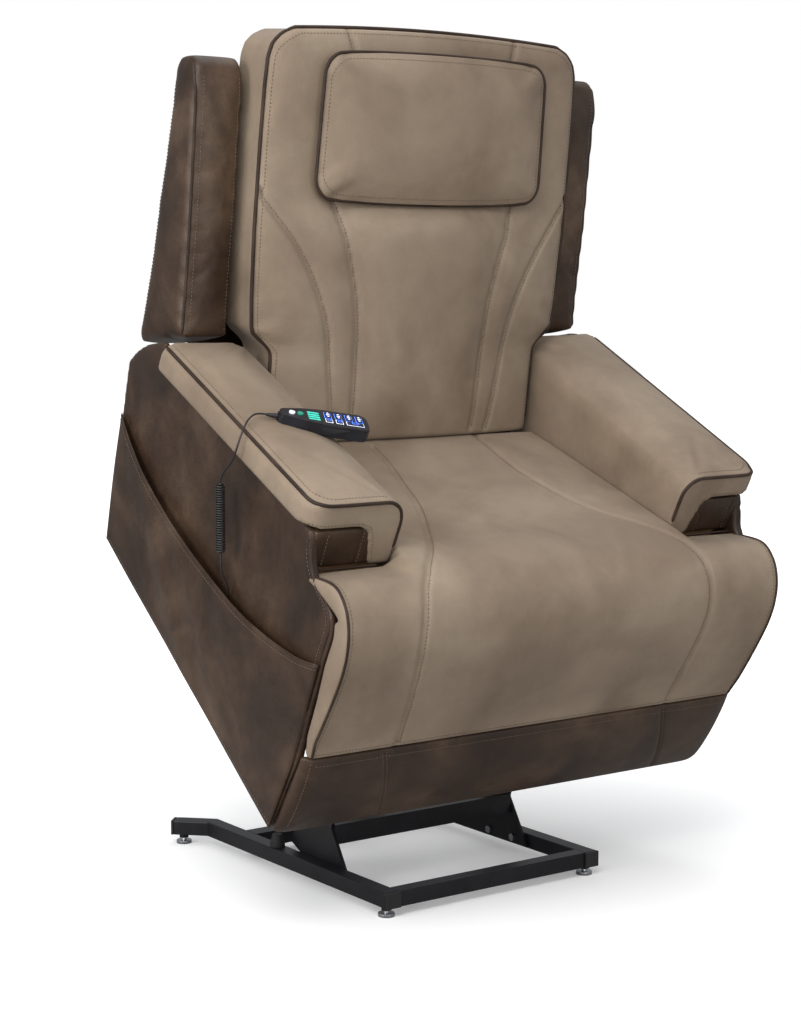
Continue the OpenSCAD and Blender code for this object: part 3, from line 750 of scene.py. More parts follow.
# Seams of the back cushion's left half: across and up
OUTER_SEAM = [(337, 486), (331, 470), (306, 440), (267, 391), (231, 329), (203, 256), (190, 173), (180, 100),
              (174, 56)]
INNER_SEAM = [(200, 480), (180, 420), (160, 350), (147, 290), (141, 220), (138, 140), (137, 56)]
TOP_SEAM = [(172, 726), (177, 745), (182, 762)]


def back_crown(x, w):
    half = table(BACK_SIDE, w)
    side = np.clip(1 - (x / half) ** 2, 0, 1)
    fullness = 8 + 22 * ease((470 - w) / 60) * ease((w + 40) / 160)
    border = np.minimum(half - np.abs(x), 768 - w)
    return -64 - fullness * side ** 0.75 + 15 * np.exp(-np.maximum(border, 0) / 13)


def seam_runs(made, matrix, lines, toward, depth, width, offset=4.0, both=True):
    """Presses each local line into the piece and returns the stitch runs beside it."""
    tree = tree_of(made)
    for line in lines:
        spots, _ = lay_on(tree, matrix, line, toward, lift=0)
        press(made, spots, depth, width)
    tree = tree_of(made)
    runs = []
    for line in lines:
        line = np.asarray(line, float)
        way = np.gradient(line, axis=0)
        side = np.cross(way, np.asarray(toward, float))
        side /= np.maximum(np.linalg.norm(side, axis=1, keepdims=True), 1e-9)
        for sign in ((-1, 1) if both else (1,)):
            runs.append(lay_on(tree, matrix, line + side * sign * offset, toward))
    return runs


def build_back():
    rows = np.r_[44:220:18j, 224:708:48j, 715:760:9j]
    share = bunched(71, 0.93)
    top = np.zeros((len(rows), len(share), 3))
    under = np.zeros_like(top)
    for i, w in enumerate(rows):
        x = share * table(BACK_SIDE, w)
        rise = w + 10 * ease((w - 650) / 110) * (1 - share ** 2)
        top[i] = np.c_[x, back_crown(x, np.full_like(x, w)), rise]
        under[i] = np.c_[x * 0.985, np.full_like(x, 44.0), rise - 4 * ease((w - 710) / 50)]
    cushion, pinned = grid_pad("back_cushion_cover", top, under, BACK, TAUPE, 4, 4.0)
    local = out_of(BACK, points_of(cushion))
    flat = local[:, [0, 2]]
    near = np.full(len(flat), 1e9)
    for sign in (-1, 1):
        for seam in (OUTER_SEAM, INNER_SEAM):
            near = np.minimum(near, distance_to(flat, curve_through(seam, 12) * [sign, 1]))
    puff = (0.25 + 0.75 * (1 - np.exp(-(near / 34) ** 2))) * (0.12 + 0.88 * ease((478 - local[:, 2]) / 40))
    inflate(cushion, 22, pinned=pinned, share=puff)
    subdivide(cushion)
    lines = []
    for sign in (-1, 1):
        for seam in (OUTER_SEAM, INNER_SEAM, TOP_SEAM):
            lines.append(at_depth(curve_through(seam, STEP) * [sign, 1], 0))
    runs = seam_runs(cushion, BACK, lines, REARWARD, 7.0, 4.6, both=False)
    edge = np.array([(sign * (table(BACK_SIDE, w) - 2), w) for sign, ws in
                     ((-1, np.arange(60, 760, 10)), (1, np.arange(759, 60, -10))) for w in ws])
    reach = edge[:, 0] / table(BACK_SIDE, edge[:, 1])
    rise = edge[:, 1] + 10 * ease((edge[:, 1] - 650) / 110) * (1 - reach ** 2)
    across = np.linspace(-288, 288, 60)
    crest = np.c_[across, 761 + 10 * (1 - (across / 290) ** 2)]
    left = np.c_[edge[:70, 0], rise[:70]]
    right = np.c_[edge[70:, 0], rise[70:]]
    loop = resample(np.vstack([left, crest, right]), STEP)
    piping = tube("back_piping", into(BACK, at_depth(loop, -51)), 3.4)
    inside = np.c_[loop[:, 0] * 0.972, loop[:, 1] - 9 * ease((loop[:, 1] - 700) / 50)]
    runs.append(lay_on(tree_of(cushion), BACK, at_depth(inside, 0), REARWARD))
    thread = stitches("back_stitching", runs, THREAD)
    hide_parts("back_cushion")
    pieces_ride([cushion, piping, thread], "backrest")


PILLOW_LOW, PILLOW_HIGH = 475, 727
PILLOW_MIDDLE = 601


def pillow_half(w):
    """Half width of the head pillow by height, with round corners."""
    r = 40.0
    wide = 247 - 7 * (w - PILLOW_LOW) / (PILLOW_HIGH - PILLOW_LOW)
    inset = max(PILLOW_LOW + r - w, w - (PILLOW_HIGH - r), 0.0)
    return wide - r + math.sqrt(max(r * r - inset ** 2, 0.0))


def build_pillow():
    tall = PILLOW_HIGH - PILLOW_LOW
    rows = PILLOW_LOW + tall * (0.5 - 0.5 * np.cos(np.pi * np.linspace(0, 1, 41)))
    share = bunched(61, 0.95)
    top = np.zeros((len(rows), len(share), 3))
    under = np.zeros_like(top)
    for i, w in enumerate(rows):
        half = pillow_half(w)
        x = share * half
        bow = 5 * (1 - share ** 2) * (2 * (w - PILLOW_LOW) / tall - 1)
        border = np.minimum(half - np.abs(x), min(w - PILLOW_LOW, PILLOW_HIGH - w))
        front = -100 - 6 * (1 - share ** 2) + 15 * np.exp(-border / 12)
        top[i] = np.c_[x, front, w + bow]
        under[i] = np.c_[x * 0.97, np.full_like(x, -80.4), PILLOW_MIDDLE + (w + bow - PILLOW_MIDDLE) * 0.97]
    pillow, pinned = grid_pad("headrest_pillow_cover", top, under, BACK, TAUPE, 2, 1.5)
    inflate(pillow, 12, pinned=pinned)
    smooth(pillow, 4)
    subdivide(pillow)
    right = np.array([(-pillow_half(w), w) for w in np.linspace(PILLOW_LOW + 2, PILLOW_HIGH - 2, 60)])
    left = right[::-1] * [-1, 1]
    across = np.linspace(-1, 1, 50)
    high = np.c_[across * pillow_half(PILLOW_HIGH), PILLOW_HIGH + 5 * (1 - across ** 2)]
    low = np.c_[-across * pillow_half(PILLOW_LOW), PILLOW_LOW - 5 * (1 - across ** 2)]
    loop = resample(np.vstack([right, high[1:-1], left, low[1:-1], right[:1]]), 5)[:-1]
    piping = tube("headrest_piping", into(BACK, at_depth(loop, -86)), 3.0, closed=True)
    centre = np.array([0, PILLOW_MIDDLE])
    inner = centre + (loop - centre) * [0.955, 0.92]
    inner = at_depth(np.vstack([inner, inner[:1]]), 0)
    run = lay_on(tree_of(pillow), BACK, inner, REARWARD, lift=0.2)
    thread = stitches("headrest_stitching", [run], THREAD)
    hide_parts("headrest_pillow")
    pieces_ride([pillow, piping, thread], "headrest")


# Side profiles of the seat and leg cover: depth and height of its outside and inside
SEAT_TOP = [(472, 450), (400, 461), (300, 473), (200, 485), (110, 495), (60, 501), (20, 503), (-10, 502),
            (-34, 497), (-56, 486), (-72, 470), (-84, 450), (-91, 430), (-96, 405), (-97, 370),
            (-93, 320), (-87, 270), (-82, 235), (-79, 207)]
SEAT_UNDER = [(472, 386), (400, 396), (300, 408), (200, 420), (110, 430), (60, 437), (20, 440), (-10, 444),
              (-38, 446), (-52, 444), (-60, 438), (-65, 428), (-67, 418), (-67, 402), (-67, 368),
              (-67, 318), (-67, 268), (-67, 234), (-67, 208)]
# The inside where the cover lies on the side panels beside the knee
EAR_UNDER = [(60, 464), (27, 466), (-10, 463), (-38, 460), (-53, 456), (-60, 443)]
# Seams of the seat and leg cover: across, depth and height
SEAT_SEAM_L = [(-96, 440, 462), (-112, 360, 466), (-136, 280, 476), (-160, 200, 485), (-196, 124, 494),
               (-236, 52, 501), (-276, 0, 503), (-306, -48, 492), (-318, -88, 440), (-314, -97, 370),
               (-302, -89, 290), (-292, -80, 212)]
SEAT_SEAM_R = [(157, 462, 452), (146, 380, 464), (141, 302, 473), (154, 198, 485), (184, 130, 493),
               (225, 83, 499), (262, 36, 502), (287, -8, 502), (301, -50, 491), (306, -88, 440),
               (304, -97, 370), (303, -89, 290), (304, -80, 212)]
# Height and depth of the side panels' front edge, which the leg cover's boxing follows
PANEL_FRONT = [(112, -48), (191, -61), (309, -54), (373, -47), (424, -48), (442, -43), (456, -34)]


def narrowing(z):
    """The leg cover draws in a little where it meets the toe panel."""
    return 1 - 0.013 * ease((250 - z) / 45)


# The knee's top and the height below which the boxing follows the side panels; the half widths where the
# cover leaves the seat between the arms and where its boxing begins
KNEE_TOP, BOXING_TOP = 480, 455
EAR_FROM, BOXING_FROM = 300, 444


def ear_drop(y):
    """How far the cover beside the seat sinks from the knee to its rear edge."""
    return 25 * ease((y + 34) / 91)


def seat_grid():
    """Points of the continuous seat and leg cover: rows along its side profile, columns across."""
    reach = np.linspace(0, 1, 96)
    top_line, under_line = np.array(SEAT_TOP, float), np.array(SEAT_UNDER, float)
    lengths = lengths_along(top_line)
    line = along(curve_through(top_line, 2.0), reach)
    below = np.stack([np.interp(reach, lengths / lengths[-1], under_line[:, k]) for k in (0, 1)], 1)
    inner = np.linspace(-299, 299, 65)
    outer = np.linspace(311, 466, 17)
    spread = np.r_[-outer[::-1], inner, outer]
    top = np.zeros((len(line), len(spread), 3))
    under = np.zeros_like(top)
    ear_y, ear_z = zip(*EAR_UNDER)
    for i, ((y, z), (yu, zu)) in enumerate(zip(line, below)):
        x = spread * narrowing(z)
        crown = 6 * (1 - (x / 470) ** 2) * ease((y + 60) / 60)
        drop = ear_drop(y) * ease((np.abs(x) - EAR_FROM) / 22)
        top[i] = np.c_[x, np.full_like(x, y), z + crown - drop * (z > KNEE_TOP)]
        under[i] = np.c_[x, np.full_like(x, yu), np.full_like(x, zu)]
        if z > BOXING_TOP:
            ear = np.abs(x) > EAR_FROM
            under[i, ear, 1] = max(y, -52)
            under[i, ear, 2] = np.interp(-max(y, -52), [-v for v in ear_y], ear_z)
        edge = np.abs(x) > BOXING_FROM
        if z <= BOXING_TOP:
            under[i, edge, 1] = table(PANEL_FRONT, z) - 2.5
            under[i, edge, 2] = min(z, 452)
    keep = np.ones((len(line) - 1, len(spread) - 1), bool)
    middle = (spread[:-1] + spread[1:]) / 2
    for i in range(len(line) - 1):
        if line[i, 0] > 57:
            keep[i, np.abs(middle) > EAR_FROM] = False
    return top, under, keep


def build_seat():
    top, under, keep = seat_grid()
    cover, pinned = grid_pad("seat_and_leg_cover", top, under, CHAIR, TAUPE, 3, 3.0, keep=keep)
    local = out_of(CHAIR, points_of(cover))
    near = np.full(len(local), 1e9)
    seams = [curve_through(SEAT_SEAM_L, 8), curve_through(SEAT_SEAM_R, 8)]
    for seam in seams:
        near = np.minimum(near, distance_to(local, seam))
    puff = 0.3 + 0.7 * (1 - np.exp(-(near / 40) ** 2))
    beside_arm = (np.abs(local[:, 0]) > 262) & (local[:, 1] > 70)
    puff[beside_arm] *= 0.45
    inflate(cover, 15, pinned=pinned, share=puff)
    subdivide(cover)
    tree = tree_of(cover)
    settled = [nearest_on(tree, into(CHAIR, seam), lift=0)[0] for seam in seams]
    for line in settled:
        press(cover, line, 7.0, 4.8)
    tree = tree_of(cover)
    runs = [nearest_on(tree, line + np.array([shift * MM, 0, 0]))
            for line, shift in zip(settled, (4.5, -4.5))]
    welts = []
    side = curve_through([p for p in SEAT_TOP if p[0] < 62], STEP)
    for sign in (-1, 1):
        line = np.c_[sign * 463.4 * narrowing(side[:, 1]), side]
        line[:, 2] -= ear_drop(line[:, 1]) * (line[:, 2] > KNEE_TOP)
        back_edge = np.array([(sign * v, 56.0, 478.0) for v in (330, 360, 400, 440, 458)])
        line = np.vstack([back_edge, line[2:]])
        name = "leg_piping_left" if sign > 0 else "leg_piping_right"
        welts.append(tube(name, into(CHAIR, resample(line, STEP)), 2.4))
        inset = at_side(side, sign * 456)
        runs.append(nearest_on(tree, into(CHAIR, inset[8:])))
    hem = np.linspace((-455, -80.5, 214), (455, -80.5, 214), 90)
    runs.append(nearest_on(tree, into(CHAIR, hem)))
    thread = stitches("seat_stitching", runs, THREAD)
    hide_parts("seat_cushion", "legrest_pad")
    for made in (cover, thread, *welts):
        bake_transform(made)


def build_linings():
    """Dark cloth inside the seat, behind the seat's rear edge and under the back cushion's lower front; its
    near-black colour is partly painted shade, filling gaps that are only shadow.
    """
    skirt = prism("back_lower_lining", [(-13, 12), (-8, 12), (-8, 50), (-13, 50)], -292, 292, BACK, LINING_AND_SHADE)
    soften_edges(skirt, 1)
    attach(skirt, "backrest")
    outline = [(488, 371), (488, 441), (474, 446), (473, 384), (100, 428), (40, 434), (-26, 436), (-30, 371)]
    core = prism("seat_core", outline, -296, 296, CHAIR, LINING_AND_SHADE)
    soften_edges(core, 4)
    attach(core, "carriage")


# Outlines of the left arm pad across its length and at its front: across and up
PAD_SECTION = [(303, 402), (303, 558), (308, 579), (321, 593), (345, 602), (462, 603), (476, 599), (484, 590),
               (487, 578), (487, 550), (474, 546.5), (452, 545.6), (316.5, 545.6), (314.8, 402)]
PAD_FRONT = [(303, 474), (303, 558), (308, 577), (320, 590), (342, 598), (460, 598), (474, 594), (482, 586),
             (486, 576), (486, 552), (470, 551), (384, 550), (364, 541), (348, 474)]


def pad_ring(outline, y, shrink=0.0):
    """Points round one cross section of an arm pad, the same number between each pair of corners."""
    counts = [12, 3, 3, 3, 14, 3, 3, 3, 4, 3, 4, 10, 8, 3]
    outline = np.array(outline, float)
    centre = outline.mean(0)
    outline = outline + (centre - outline) * shrink
    ring = []
    for i, count in enumerate(counts):
        a, b = outline[i], outline[(i + 1) % len(outline)]
        for t in np.arange(count) / count:
            p = a + (b - a) * t
            ring.append((p[0], y, p[1]))
    return ring


def corner_reach(y, radius=38.0, side=487.0):
    """How far out the arm pad reaches where its outer front corner is rounded in plan."""
    inset = np.clip(60.5 + radius - y, 0, radius)
    return side - radius + math.sqrt(radius * radius - inset * inset)


def build_arm_pads():
    rings = [pad_ring(PAD_FRONT, 60.5, 0.02), pad_ring(PAD_FRONT, 63)]
    rings += [pad_ring(PAD_FRONT, y) for y in (70, 80, 90)]
    rings += [pad_ring(PAD_SECTION, y) for y in (93, *range(104, 578, 12), 580)]
    rings += [pad_ring(PAD_SECTION, 584, 0.02)]
    count = len(rings[0])
    points = [(min(x, corner_reach(y)), y, z) for ring in rings for x, y, z in ring]
    faces = [(base + k, base + (k + 1) % count, base + count + (k + 1) % count, base + count + k)
             for base in range(0, count * (len(rings) - 1), count) for k in range(count)]
    faces.append(tuple(range(count))[::-1])
    faces.append(tuple((len(rings) - 1) * count + k for k in range(count)))
    pad = mesh_object("arm_pad_cover_left", points, faces, CHAIR, TAUPE)
    remesh(pad, 5.0)
    smooth(pad, 5)
    local = out_of(CHAIR, points_of(pad))
    lively = ease((local[:, 2] - 575) / 24) * ease((474 - local[:, 0]) / 30) + 0.6 * ease(
        (560 - local[:, 2]) / 20) * (local[:, 0] < 312) * ease((local[:, 2] - 480) / 30)
    lively = np.clip(lively, 0, 1) * ease((local[:, 1] - 62) / 30)
    inflate(pad, 9, pinned=lively < 0.02, share=np.maximum(lively, 0.05))
    smooth(pad, 4)
    subdivide(pad)
    tree = tree_of(pad)
    outer = [(corner_reach(y) - 6, y, 596) for y in np.arange(578, 96, -STEP)]
    corner = [(corner_reach(y) - 6, y - 1, 595) for y in (90, 84, 78, 73, 69, 66, 64, 62.5, 61.5)]
    front = [(x, 60.4, 594.5) for x in np.arange(434, 330, -STEP)]
    drop = [(321, 60.6, 589), (311, 61, 579), (306, 61.5, 570)]
    drop += [(304.5, 61.5, z) for z in np.arange(566, 500, -STEP)]
    route = resample(np.array(outer + corner + front + drop), 5)
    spots, _ = nearest_on(tree, into(CHAIR, route), lift=0.6)
    for _ in range(3):
        spots[1:-1] = (spots[:-2] + spots[1:-1] * 2 + spots[2:]) / 4
    piping = tube("arm_piping_left", spots, 3.2)
    beside = [(470, y, 620) for y in np.arange(574, 98, -STEP)]
    beside += [(465, 92, 620), (457, 84, 620), (446, 77, 620)]
    beside += [(x, 74, 620) for x in np.arange(438, 330, -STEP)]
    hem = [(x, 0, 558) for x in np.arange(478, 380, -STEP)]
    hem += [(376, 0, 555), (362, 0, 549), (356, 0, 537)]
    hem += [(342 + (z - 480) * 0.22, 0, z) for z in np.arange(528, 484, -STEP)]
    rail = [(OUTSIDE, y, 553) for y in np.arange(574, 70, -STEP)]
    runs = [lay_on(tree, CHAIR, beside, DOWNWARD), lay_on(tree, CHAIR, hem, REARWARD),
            lay_on(tree, CHAIR, rail, RIGHTWARD, start=SIDE_START)]
    thread = stitches("arm_stitching_left", runs, THREAD)
    twin = mirrored(pad)
    for made, name in ((pad, "arm_pad_left"), (twin, "arm_pad_right")):
        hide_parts(name)
    pieces_ride([pad, twin, piping, thread, mirrored(piping), mirrored(thread)], "carriage")


# Side profiles of the side panels and of their piped front edge: depth and height
PANEL = [(-49, 35), (267, 95), (640, 166), (667, 294), (692, 425), (706, 498), (697, 513), (687, 527),
         (675, 541), (662, 553), (648, 564), (633, 574), (617, 583), (601, 590), (600, 544.5), (70, 544.5),
         (62, 520), (48, 494), (27, 478), (4, 468), (-18, 462), (-33, 455), (-43, 442), (-48, 424),
         (-46, 373), (-53, 309), (-60, 191), (-49, 90), (-41, 39)]
PANEL_EDGE = [(63, 540), (58, 517), (44, 492), (24, 475), (2, 465), (-16, 459), (-29, 452), (-38, 440),
              (-42, 424), (-41, 373), (-48, 309), (-55, 191), (-44, 92), (-38, 52)]


def build_side_panels():
    panel = prism("side_cover_left", PANEL, 452.8, 469.2, CHAIR, DARK)
    remesh(panel, 5.5)
    smooth(panel, 4)
    local = out_of(CHAIR, points_of(panel))
    y, z = local[:, 1], local[:, 2]
    outer = ease((local[:, 0] - 462) / 6)
    wave = (1.6 * np.sin(y / 61 + z / 83) + 1.2 * np.sin(y / 37 - z / 49 + 1.3)
            + 0.8 * np.sin(y / 23 + z / 31 + 0.4))
    dent = 4.0 * np.exp(-(((y - 250) + 0.55 * (z - 430)) / 26) ** 2) * np.exp(-((z - 430) / 70) ** 2)
    local[:, 0] += outer * (wave * 0.55 - dent)
    set_points(panel, into(CHAIR, local))
    subdivide(panel)
    tree = tree_of(panel)
    edge = at_side(curve_through(PANEL_EDGE, STEP) + [3, 0], OUTSIDE)
    spots, _ = lay_on(tree, CHAIR, edge, RIGHTWARD, lift=-0.4, start=SIDE_START)
    piping = tube("side_piping_left", spots, 2.6)
    low = at_side(resample([(-30, 48), (267, 104), (632, 174)], STEP), OUTSIDE)
    rear = at_side(resample([(632, 178), (658, 296), (683, 427), (697, 498)], STEP), OUTSIDE)
    runs = [lay_on(tree, CHAIR, line, RIGHTWARD, start=SIDE_START) for line in (edge + [0, 9, 0], low, rear)]
    thread = stitches("side_stitching_left", runs, DARK_THREAD)
    twin = mirrored(panel)
    for made, name in ((panel, "side_panel_left"), (twin, "side_panel_right")):
        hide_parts(name)
    pieces_ride([panel, twin, piping, thread, mirrored(piping), mirrored(thread)], "carriage")


# Edges of the side pocket: depth and height
POCKET_RIM = [(-44, 368), (9, 350), (100, 334), (199, 327), (384, 336), (552, 364), (680, 406)]
POCKET_FOOT = [(-44, 41), (60, 61), (160, 80), (266, 100), (400, 126), (520, 148), (633, 171)]
POCKET_FRONT = [(-44, 368), (-48, 309), (-54, 191), (-48, 100), (-44, 41)]
POCKET_REAR = [(680, 406), (662, 300), (633, 171)]
POCKET_OUTSIDE = -560
# Slack folds of its flap: place along the rim, lean, width and height
POCKET_FOLDS = ((0.80, -0.30, 0.075, 6.5), (0.60, -0.34, 0.07, 5.0), (0.38, -0.22, 0.08, 4.0),
                (0.92, -0.22, 0.04, 2.6), (0.20, -0.10, 0.07, 2.5))


def build_pocket():
    """The leather flap of the side pocket: full at its rim, tight to the panel along its other edges."""
    cols, rows = 120, 66
    rim, foot = resample(curve_through(POCKET_RIM, 4), 1), resample(curve_through(POCKET_FOOT, 4), 1)
    front, rear = curve_through(POCKET_FRONT, 2), curve_through(POCKET_REAR, 2)
    s, t = np.meshgrid(np.linspace(0, 1, cols), np.linspace(0, 1, rows))
    corners = [rim[0], rim[-1], foot[0], foot[-1]]
    place = ((1 - t)[..., None] * along(rim, s) + t[..., None] * along(foot, s)
             + (1 - s)[..., None] * along(front, t) + s[..., None] * along(rear, t)
             - ((1 - s) * (1 - t))[..., None] * corners[0] - (s * (1 - t))[..., None] * corners[1]
             - ((1 - s) * t)[..., None] * corners[2] - (s * t)[..., None] * corners[3])
    fullness = 17.0 * np.sin(np.pi * s) ** 0.45 * (1 - t) ** 0.9
    fullness += 2.0 * np.sin(np.pi * s) ** 0.3 * np.sin(np.pi * t) ** 0.5
    y, z = place[..., 0], place[..., 1]
    fold = np.zeros_like(s)
    for centre, lean, width, height in POCKET_FOLDS:
        run = (s - centre - lean * t) / width
        fold += height * np.exp(-run ** 2) - 0.5 * height * np.exp(-((run - 1.9) / 1.1) ** 2)
    fold *= np.sin(np.pi * np.clip(t * 0.9 + 0.08, 0, 1)) * np.sin(np.pi * s) ** 0.5
    fold += 0.5 * np.sin(y / 17 + z / 29) * np.sin(np.pi * s) * np.sin(np.pi * t)
    sag = 4.0 * np.sin(np.pi * s) * (1 - t) ** 3
    out = np.clip(2.6 + fullness + fold, 2.2, 19.0)
    top = np.stack([-HALF_W - out, y, z - sag], -1)
    under = np.stack([-HALF_W - np.maximum(out - 2.4, 0.3), y, z - sag], -1)
    flap, _ = grid_pad("side_pocket_flap", top, under, CHAIR, DARK, 1, 0.8)
    tree = tree_of(flap)
    drop = 9 + 4.0 * np.sin(np.pi * np.linspace(0, 1, len(rim)))
    hem = at_side(np.c_[rim[:, 0], rim[:, 1] - drop], POCKET_OUTSIDE)
    lower = at_side(foot + [0, 8], POCKET_OUTSIDE)
    runs = [lay_on(tree, CHAIR, line, LEFTWARD, start=SIDE_START) for line in (hem, lower)]
    thread = stitches("side_pocket_stitching", runs, DARK_THREAD)
    rolled = np.c_[top[0, :, 0] + 1.0, top[0, :, 1], top[0, :, 2]]
    lip = tube("side_pocket_hem", into(CHAIR, rolled), 1.9, DARK)
    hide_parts("side_pocket")
    pieces_ride([flap, thread, lip], "carriage")


# Side profile of the wings: out of the back and up
WING = [(0, 224), (149, 193), (157, 206), (76, 682), (62, 701), (22, 704), (5, 690), (-5, 648), (-7, 420)]


def build_wings():
    wing = prism("wing_cover_left", WING, 350.2, 441, BACK, DARK)
    remesh(wing, 6.5)
    smooth(wing, 4)
    inflate(wing, 4.5, pressure=3)
    smooth(wing, 2)
    local = out_of(BACK, points_of(wing))
    local[:, 0] = np.maximum(local[:, 0], 349.3)
    set_points(wing, into(BACK, local))
    subdivide(wing)
    tree = tree_of(wing)
    corner = resample([(440, 6, 232), (440, 1, 420), (440, 3, 644), (440, 16, 690)], STEP)
    spots, _ = nearest_on(tree, into(BACK, corner), lift=0.3)
    piping = tube("wing_piping_left", spots, 2.6)
    face = [[(x, 0, w) for w in np.arange(236, 680, STEP)] for x in (428, 358)]
    runs = [lay_on(tree, BACK, line, REARWARD) for line in face]
    rear = at_side(resample([(142, 204), (66, 660)], STEP), OUTSIDE)
    runs.append(lay_on(tree, BACK, rear, RIGHTWARD, start=60))
    thread = stitches("wing_stitching_left", runs, DARK_THREAD)
    twin = mirrored(wing)
    for made, name in ((wing, "wing_left"), (twin, "wing_right")):
        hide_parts(name)
    pieces_ride([wing, twin, piping, thread, mirrored(piping), mirrored(thread)], "backrest")


def build_back_panel():
    outline = [(135, 121), (151, 117), (153, 206), (60, 679), (47, 689), (46.6, 677), (141, 204)]
    panel = prism("back_panel_cover", outline, -347.5, 347.5, BACK, DARK)
    remesh(panel, 6.0)
    smooth(panel, 3)
    subdivide(panel)
    lines = [[(x, 0, w) for w in np.arange(126, 674, STEP)] for x in (-170, 170)]
    cross = [(x, 0, 208) for x in np.arange(-340, 341, STEP)]
    runs = seam_runs(panel, BACK, [*lines, cross], FORWARD, 2.5, 5.0)
    thread = stitches("back_panel_stitching", runs, DARK_THREAD)
    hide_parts("back_panel")
    pieces_ride([panel, thread], "backrest")


def build_arm_fronts():
    outline = [(63.5, 476.5), (65, 544.5), (91.2, 544.5), (91.2, 476.5)]
    front = prism("arm_front_cover_left", outline, 326, 462, CHAIR, DARK)
    remesh(front, 4.0)
    smooth(front, 5)
    subdivide(front)
    lines = [[(x, 0, z) for z in np.arange(480, 542, 5)] for x in (372, 440)]
    runs = seam_runs(front, CHAIR, lines, REARWARD, 2.0, 4.0, offset=3.5, both=False)
    thread = stitches("arm_front_stitching_left", runs, DARK_THREAD)
    twin = mirrored(front)
    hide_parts("arm_fronts")
    pieces_ride([front, twin, thread, mirrored(thread)], "carriage")


# Side profiles of the toe panel: depth and height of its face and its rear
TOE_FACE = [(-82, 203), (-83, 186), (-83, 170), (-82, 145), (-80, 120), (-77, 97), (-73, 74), (-67, 52),
            (-58, 37)]
TOE_REAR = [(-66, 203), (-66, 186), (-66, 170), (-66, 145), (-66, 120), (-62, 100), (-54, 82), (-51, 62),
            (-50.5, 44)]
# Height and depth of the side panels' lower front edge, which the toe panel meets
PANEL_FOOT = [(34, -43), (60, -46), (112, -50), (191, -61), (203, -61)]


def toe_taper(z):
    return 3 * (203 - z) / 160


def build_toe_panel():
    share = np.linspace(-1, 1, 141)
    reach = np.linspace(0, 1, 30)
    face, rear = curve_through(TOE_FACE, 2), curve_through(TOE_REAR, 2)
    top = np.zeros((len(reach), len(share), 3))
    under = np.zeros_like(top)
    for i, t in enumerate(reach):
        (y, z), (yu, zu) = along(face, t), along(rear, t)
        half = 468.5 - toe_taper(z)
        border = half * (1 - np.abs(share))
        top[i] = np.c_[share * half, y + 9 * np.exp(-border / 10), np.full_like(share, z)]
        under[i] = np.c_[share * (half - 1), np.full_like(share, yu), np.full_like(share, zu)]
        under[i, [0, 1, -2, -1], 1] = table(PANEL_FOOT, z) - 2.5
    cover, pinned = grid_pad("toe_panel_cover", top, under, CHAIR, DARK, 2, 2.0)
    inflate(cover, 5, pinned=pinned)
    subdivide(cover)
    seams = [np.linspace((high, 0, 200), (low, 0, 48), 27) for high, low in ((-314, -268), (296, 352))]
    runs = seam_runs(cover, CHAIR, seams, REARWARD, 3.0, 5.0)
    tree = tree_of(cover)
    for sign in (-1, 1):
        line = [(sign * (456 - toe_taper(z)), 0, z) for z in np.arange(198, 50, -5)]
        runs.append(lay_on(tree, CHAIR, line, REARWARD))
    runs.append(lay_on(tree, CHAIR, [(x, 0, 192) for x in np.arange(-448, 449, STEP)], REARWARD))
    thread = stitches("toe_stitching", runs, DARK_THREAD)
    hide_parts("toe_panel")
    pieces_ride([cover, thread], "legrest")


# ---------------------------------------------------------------- hand control

# Millimetres in the hand control's own axes: x along it, y across, z up
SHELL_TOP = 22.0
KEY_TOP = 23.95
KEY_HALF = 5.3
MARK_FOOT, MARK_HEIGHT = KEY_TOP - 0.05, 0.2
ROCKERS = (("back_rocker", 7), ("headrest_rocker", 25), ("legrest_rocker", 43), ("lift_rocker", 61))
SQUARES = (("memory_key_one", 7, 9.4), ("memory_key_two", 25, 9.4), ("home_key", 52, 27.4))


def ring_frame(x0, x1, y0, y1, width, z, height):
    """A flat rectangular frame as points and faces."""
    outer = [(x0 - width, y0 - width), (x1 + width, y0 - width), (x1 + width, y1 + width),
             (x0 - width, y1 + width)]
    inner = [(x0, y0), (x1, y0), (x1, y1), (x0, y1)]
    points = [(*p, z) for p in outer + inner] + [(*p, z + height) for p in outer + inner]
    faces = []
    for k in range(4):
        m = (k + 1) % 4
        faces += [(8 + k, 8 + m, 12 + m, 12 + k), (k, 4 + k, 4 + m, m), (k, m, 8 + m, 8 + k),
                  (4 + k, 12 + k, 12 + m, 4 + m)]
    return points, faces


def key_edge(x0, x1, y0, y1):
    return ring_frame(x0, x1, y0, y1, 0.8, SHELL_TOP - 0.1, 0.35)


def raised_mark(corners):
    count = len(corners)
    points = [(*p, z) for z in (MARK_FOOT, MARK_FOOT + MARK_HEIGHT) for p in corners]
    faces = [tuple(range(count))[::-1], tuple(range(count, 2 * count))]
    faces += [(k, (k + 1) % count, count + (k + 1) % count, count + k) for k in range(count)]
    return points, faces


def joined(name, parts, material):
    return mesh_object(name, *merged(parts), HANDSET, material, smooth=False)


